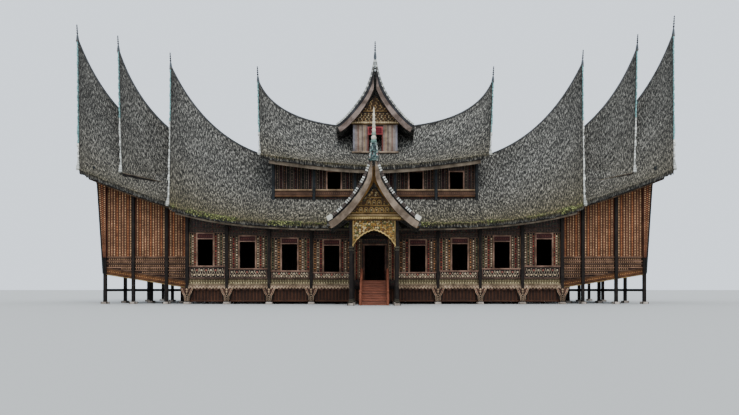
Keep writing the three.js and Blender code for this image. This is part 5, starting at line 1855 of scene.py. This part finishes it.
# %% The spire's upper part: nine rings, each smaller than the last, greens under cream
RING_PROFILE = ((0.8, 0.02), (0.98, 0.3), (1.0, 0.5), (0.94, 0.75), (0.74, 0.98))
edges = np.linspace(13.6, 16.4, 10)
staff = [(0, 13.6)]
for low, high in zip(edges[:-1], edges[1:]):
    radius = mix(0.26, 0.065, ((low - edges[0]) / 2.8) ** 0.7)
    staff += [(radius * b, mix(low, high, s)) for b, s in RING_PROFILE]
staff += [(0.04, 16.5), (0.0, 16.7)]
ring = (np.arange(len(staff)) - 1) // 5
shades = np.array([colour(112, 142, 132), colour(214, 206, 184), colour(132, 152, 136),
                   colour(222, 212, 186)])
upper = np.array(colour(226, 214, 188)) * mix(0.8, 1, ring % 2)[:, None]
shades = np.where((ring < 4)[:, None], shades[ring % 4], upper)
new_piece("porch_spire_rings", [turned(staff, SPIRE_FOOT, sides=20, paint=shades)], METAL_TRIM)
print("porch", TRIANGLES["porch_carving"], TRIANGLES["porch_boards"], "spire", TRIANGLES["porch_spire"])

# %% [markdown]
# ## Stair and doorway
# The stair is a plain solid in the frame. It gets treads that stand proud, side strings,
# newels and a rail on each side, all painted the same red-brown, and the doorway gets its
# frame. The posts of the porch stay as they are, with mouldings at foot and head.

# %% Treads, strings, rails and newels
STEPS, RISE, TREAD = 10, 0.22, 0.33
STAIR_RED = (142, 82, 58)
TREAD_SECTION = [(-0.05, 0), (0.3, 0), (0.3, 0.05), (-0.03, 0.05), (-0.05, 0.03)]
HAND_SECTION = [(-0.05, -0.05), (0.05, -0.05), (0.07, 0.0), (0.05, 0.05), (-0.05, 0.05)]
STAIR_HALF, STAIR_TOP_Y = 1.12, -1.7
numbers = np.arange(STEPS)
nose = STAIR_TOP_Y - (STEPS - 1 - numbers) * TREAD
height = (numbers + 1) * RISE
starts = row(-STAIR_HALF - 0.03, nose, height - 0.03)
treads = bars(starts, starts * (-1, 1, 1), (0, 1, 0), UP, TREAD_SECTION, STAIR_RED)
low = np.array((STAIR_HALF + 0.02, nose[0] + 0.05, 0.19))
high = np.array((STAIR_HALF + 0.02, STAIR_TOP_Y, 2.2))
over = unit(np.cross(RIGHT, unit(high - low)))
stair_side = [bars(low, high, over, RIGHT, oblong(-0.22, 0.2, 0, 0.09), (104, 58, 46))]
for lift, section in ((0.95, HAND_SECTION), (0.5, oblong(-0.035, 0.035, -0.03, 0.03))):
    offset = (0.05, 0, lift)
    stair_side.append(bars(low + offset, high + offset, over, RIGHT, section, STAIR_RED))
for z in (2.7, 3.12):
    ends = row(STAIR_HALF + 0.07, np.array([STAIR_TOP_Y, -0.1]), z)
    stair_side.append(bars(ends[0], ends[1], UP, RIGHT, plank(0.1, 0.08), STAIR_RED))
for y, z0, z1 in ((nose[0] - 0.02, 0.0, 1.32), (nose[5], 1.1, 2.4), (STAIR_TOP_Y, 1.9, 3.3),
                  (-0.25, 1.9, 3.3)):
    profile = [(0, z0), (0.11, z0), (0.11, z1 - 0.3), (0.08, z1 - 0.26), (0.1, z1 - 0.14),
               (0.12, z1 - 0.08), (0.09, z1), (0, z1 + 0.03)]
    stair_side.append(turned(profile, (STAIR_HALF + 0.08, y, 0), sides=12, paint=STAIR_RED))
new_piece("stair_treads_and_rails", [treads] + both_sides(stair_side), PAINTED_WOOD)

# %% The door frame and the carving round it
door = []
for side in (-1, 1):
    door.append(upright(side * 1.04, 2.2, 5.7, 0.18, 0.1, paint=(92, 62, 50)))
    door.append(upright(side * np.array([1.3, 1.58, 1.86]), 2.3, 6.6, 0.07, 0.07))
    door.append(upright(side * 1.44, 2.3, 6.6, 0.2, 0.03, paint=CARVE_GROUND))
    door.append(upright(side * 1.72, 2.3, 6.6, 0.2, 0.03, paint=CARVE_GROUND))
door.append(rail(-1.16, 1.16, 5.66, 0.14, 0.13, paint=(128, 98, 80)))
door.append(rail(-1.95, 1.95, 6.66, 0.1, 0.13, paint=(96, 72, 58)))
beside_door = stud_columns([-1.72, -1.44, 1.44, 1.72], 2.35, 6.6, 0.165, 0.08, -0.04,
                           INKS[[1, 0, 0, 1]], seed=77)
over_door = carve(np.linspace(-0.9, 0.9, 9), -0.01, 6.15, 0.1, (112, 84, 62))
new_piece("door_frame", door, WEATHERED_BOARD)
new_piece("door_carving", [beside_door, over_door], PAINTED_WOOD, smooth=20)

# %% Mouldings on the porch posts
collars = []
for y in (-5.0, -1.0):
    for z, size, tall in ((0.28, 0.2, 0.14), (0.46, 0.17, 0.08), (4.75, 0.17, 0.08), (4.95, 0.2, 0.14)):
        section = oblong(-size, size, -size, size)
        collars.append(bars((2.0, y, z), (2.0, y, z + tall), RIGHT, (0, 1, 0), section, (74, 68, 54)))
new_piece("post_collars", both_sides(collars), PAINTED_WOOD)
print("stair and door", TRIANGLES["stair_treads_and_rails"], TRIANGLES["door_frame"])

# %% [markdown]
# ## Closed shutters at the back
# No daylight shows through the house in the photograph. The rear windows are taken to be
# shut with pairs of boarded leaves, which is how such houses are closed on the weather side.

# %% Shutter leaves
def shutter_pair(x, z0, z1, half, y):
    """Two leaves of upright boards with ledges across, standing in the window hole."""
    leaves = []
    for side in (-1, 1):
        lines = x + side * (np.arange(4) + 0.5) / 4 * (half - 0.02)
        leaves.append(upright(lines, z0 + 0.01, z1 - 0.01, half / 4 - 0.015, 0.05, y, (104, 74, 52)))
        for z in (mix(z0, z1, 0.15), mix(z0, z1, 0.85)):
            ends = sorted((x + side * 0.03, x + side * (half - 0.04)))
            leaves.append(rail(ends[0], ends[1], z, 0.12, 0.035, y - 0.05, (84, 58, 42)))
    middle, reach = (z0 + z1) / 2, half + 0.06
    leaves.append(rail(x - reach, x + reach, middle, z1 - z0 + 0.1, 0.03, y + 0.03, (60, 44, 36)))
    return leaves


rear_shutters = []
for x in np.concatenate([WINDOWS, -WINDOWS]):
    sill = float(sill_height(x))
    rear_shutters += shutter_pair(x, sill, sill + WINDOW_HEIGHT, WINDOW_HALF, 0.09)
for x in UPPER_WINDOWS:
    rear_shutters += shutter_pair(x, UPPER_SILL, UPPER_HEAD, 0.68, UPPER_Y + 0.09)
rear_shutters += shutter_pair(0.0, 15.55, 18.15, 0.66, TOP_Y + 0.09)
new_piece("rear_shutters", reflected(rear_shutters, in_y=True), WEATHERED_BOARD)
print("shutters", TRIANGLES["rear_shutters"])

# %% [markdown]
# ## Floor, camera and light
# The camera stands where the photograph was taken from, right of the axis and low. Its
# frame is shifted up instead of being tilted, so that upright posts stay upright. The light
# is an overcast sky with one very soft sun, because the day in the photograph was cloudy.

# %% Floor and camera
FLOOR_HALF = 400
FOCAL, SENSOR = 28, 36
STANDPOINT = (0.3, FRONT_Y - 27.3, 0.715)
SHIFT_X, SHIFT_Y = -0.01556, 0.1103

floor_mesh = bpy.data.meshes.new("ground")
corners = [(FLOOR_HALF * x, FLOOR_HALF * y, 0) for x, y in ((-1, -1), (1, -1), (1, 1), (-1, 1))]
floor_mesh.from_pydata(corners, [], [(0, 1, 2, 3)])
floor = bpy.data.objects.new("ground", floor_mesh)
bpy.context.scene.collection.objects.link(floor)
floor_finish, _, floor_shader = start_finish("pale_floor", 0.9)
floor_shader.inputs["Base Color"].default_value = colour(186, 186, 182)
floor_mesh.materials.append(floor_finish)

camera_data = bpy.data.cameras.new("camera")
camera_data.lens = FOCAL
camera_data.sensor_width = SENSOR
camera_data.shift_x = SHIFT_X
camera_data.shift_y = SHIFT_Y
camera_data.clip_end = 2000
camera = bpy.data.objects.new("camera", camera_data)
camera.location = STANDPOINT
camera.rotation_euler = (math.radians(90), 0, 0)
bpy.context.scene.collection.objects.link(camera)
bpy.context.scene.camera = camera

# %% Light
SUN_STRENGTH, SUN_WIDTH = 1.3, 0.5
SKY_COLOUR, SKY_STRENGTH = (0.82, 0.90, 1.0, 1), 1.5

sun_data = bpy.data.lights.new("sun", "SUN")
sun_data.energy = SUN_STRENGTH
sun_data.angle = SUN_WIDTH
sun = bpy.data.objects.new("sun", sun_data)
sun.rotation_euler = (math.radians(38), 0, math.radians(18))
bpy.context.scene.collection.objects.link(sun)
world = bpy.data.worlds.new("studio")
world.use_nodes = True
background = world.node_tree.nodes["Background"]
background.inputs[0].default_value = SKY_COLOUR
background.inputs[1].default_value = SKY_STRENGTH
bpy.context.scene.world = world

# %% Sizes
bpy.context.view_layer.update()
largest = max(TRIANGLES, key=TRIANGLES.get)
print("triangles added", sum(TRIANGLES.values()), "largest", largest, TRIANGLES[largest])
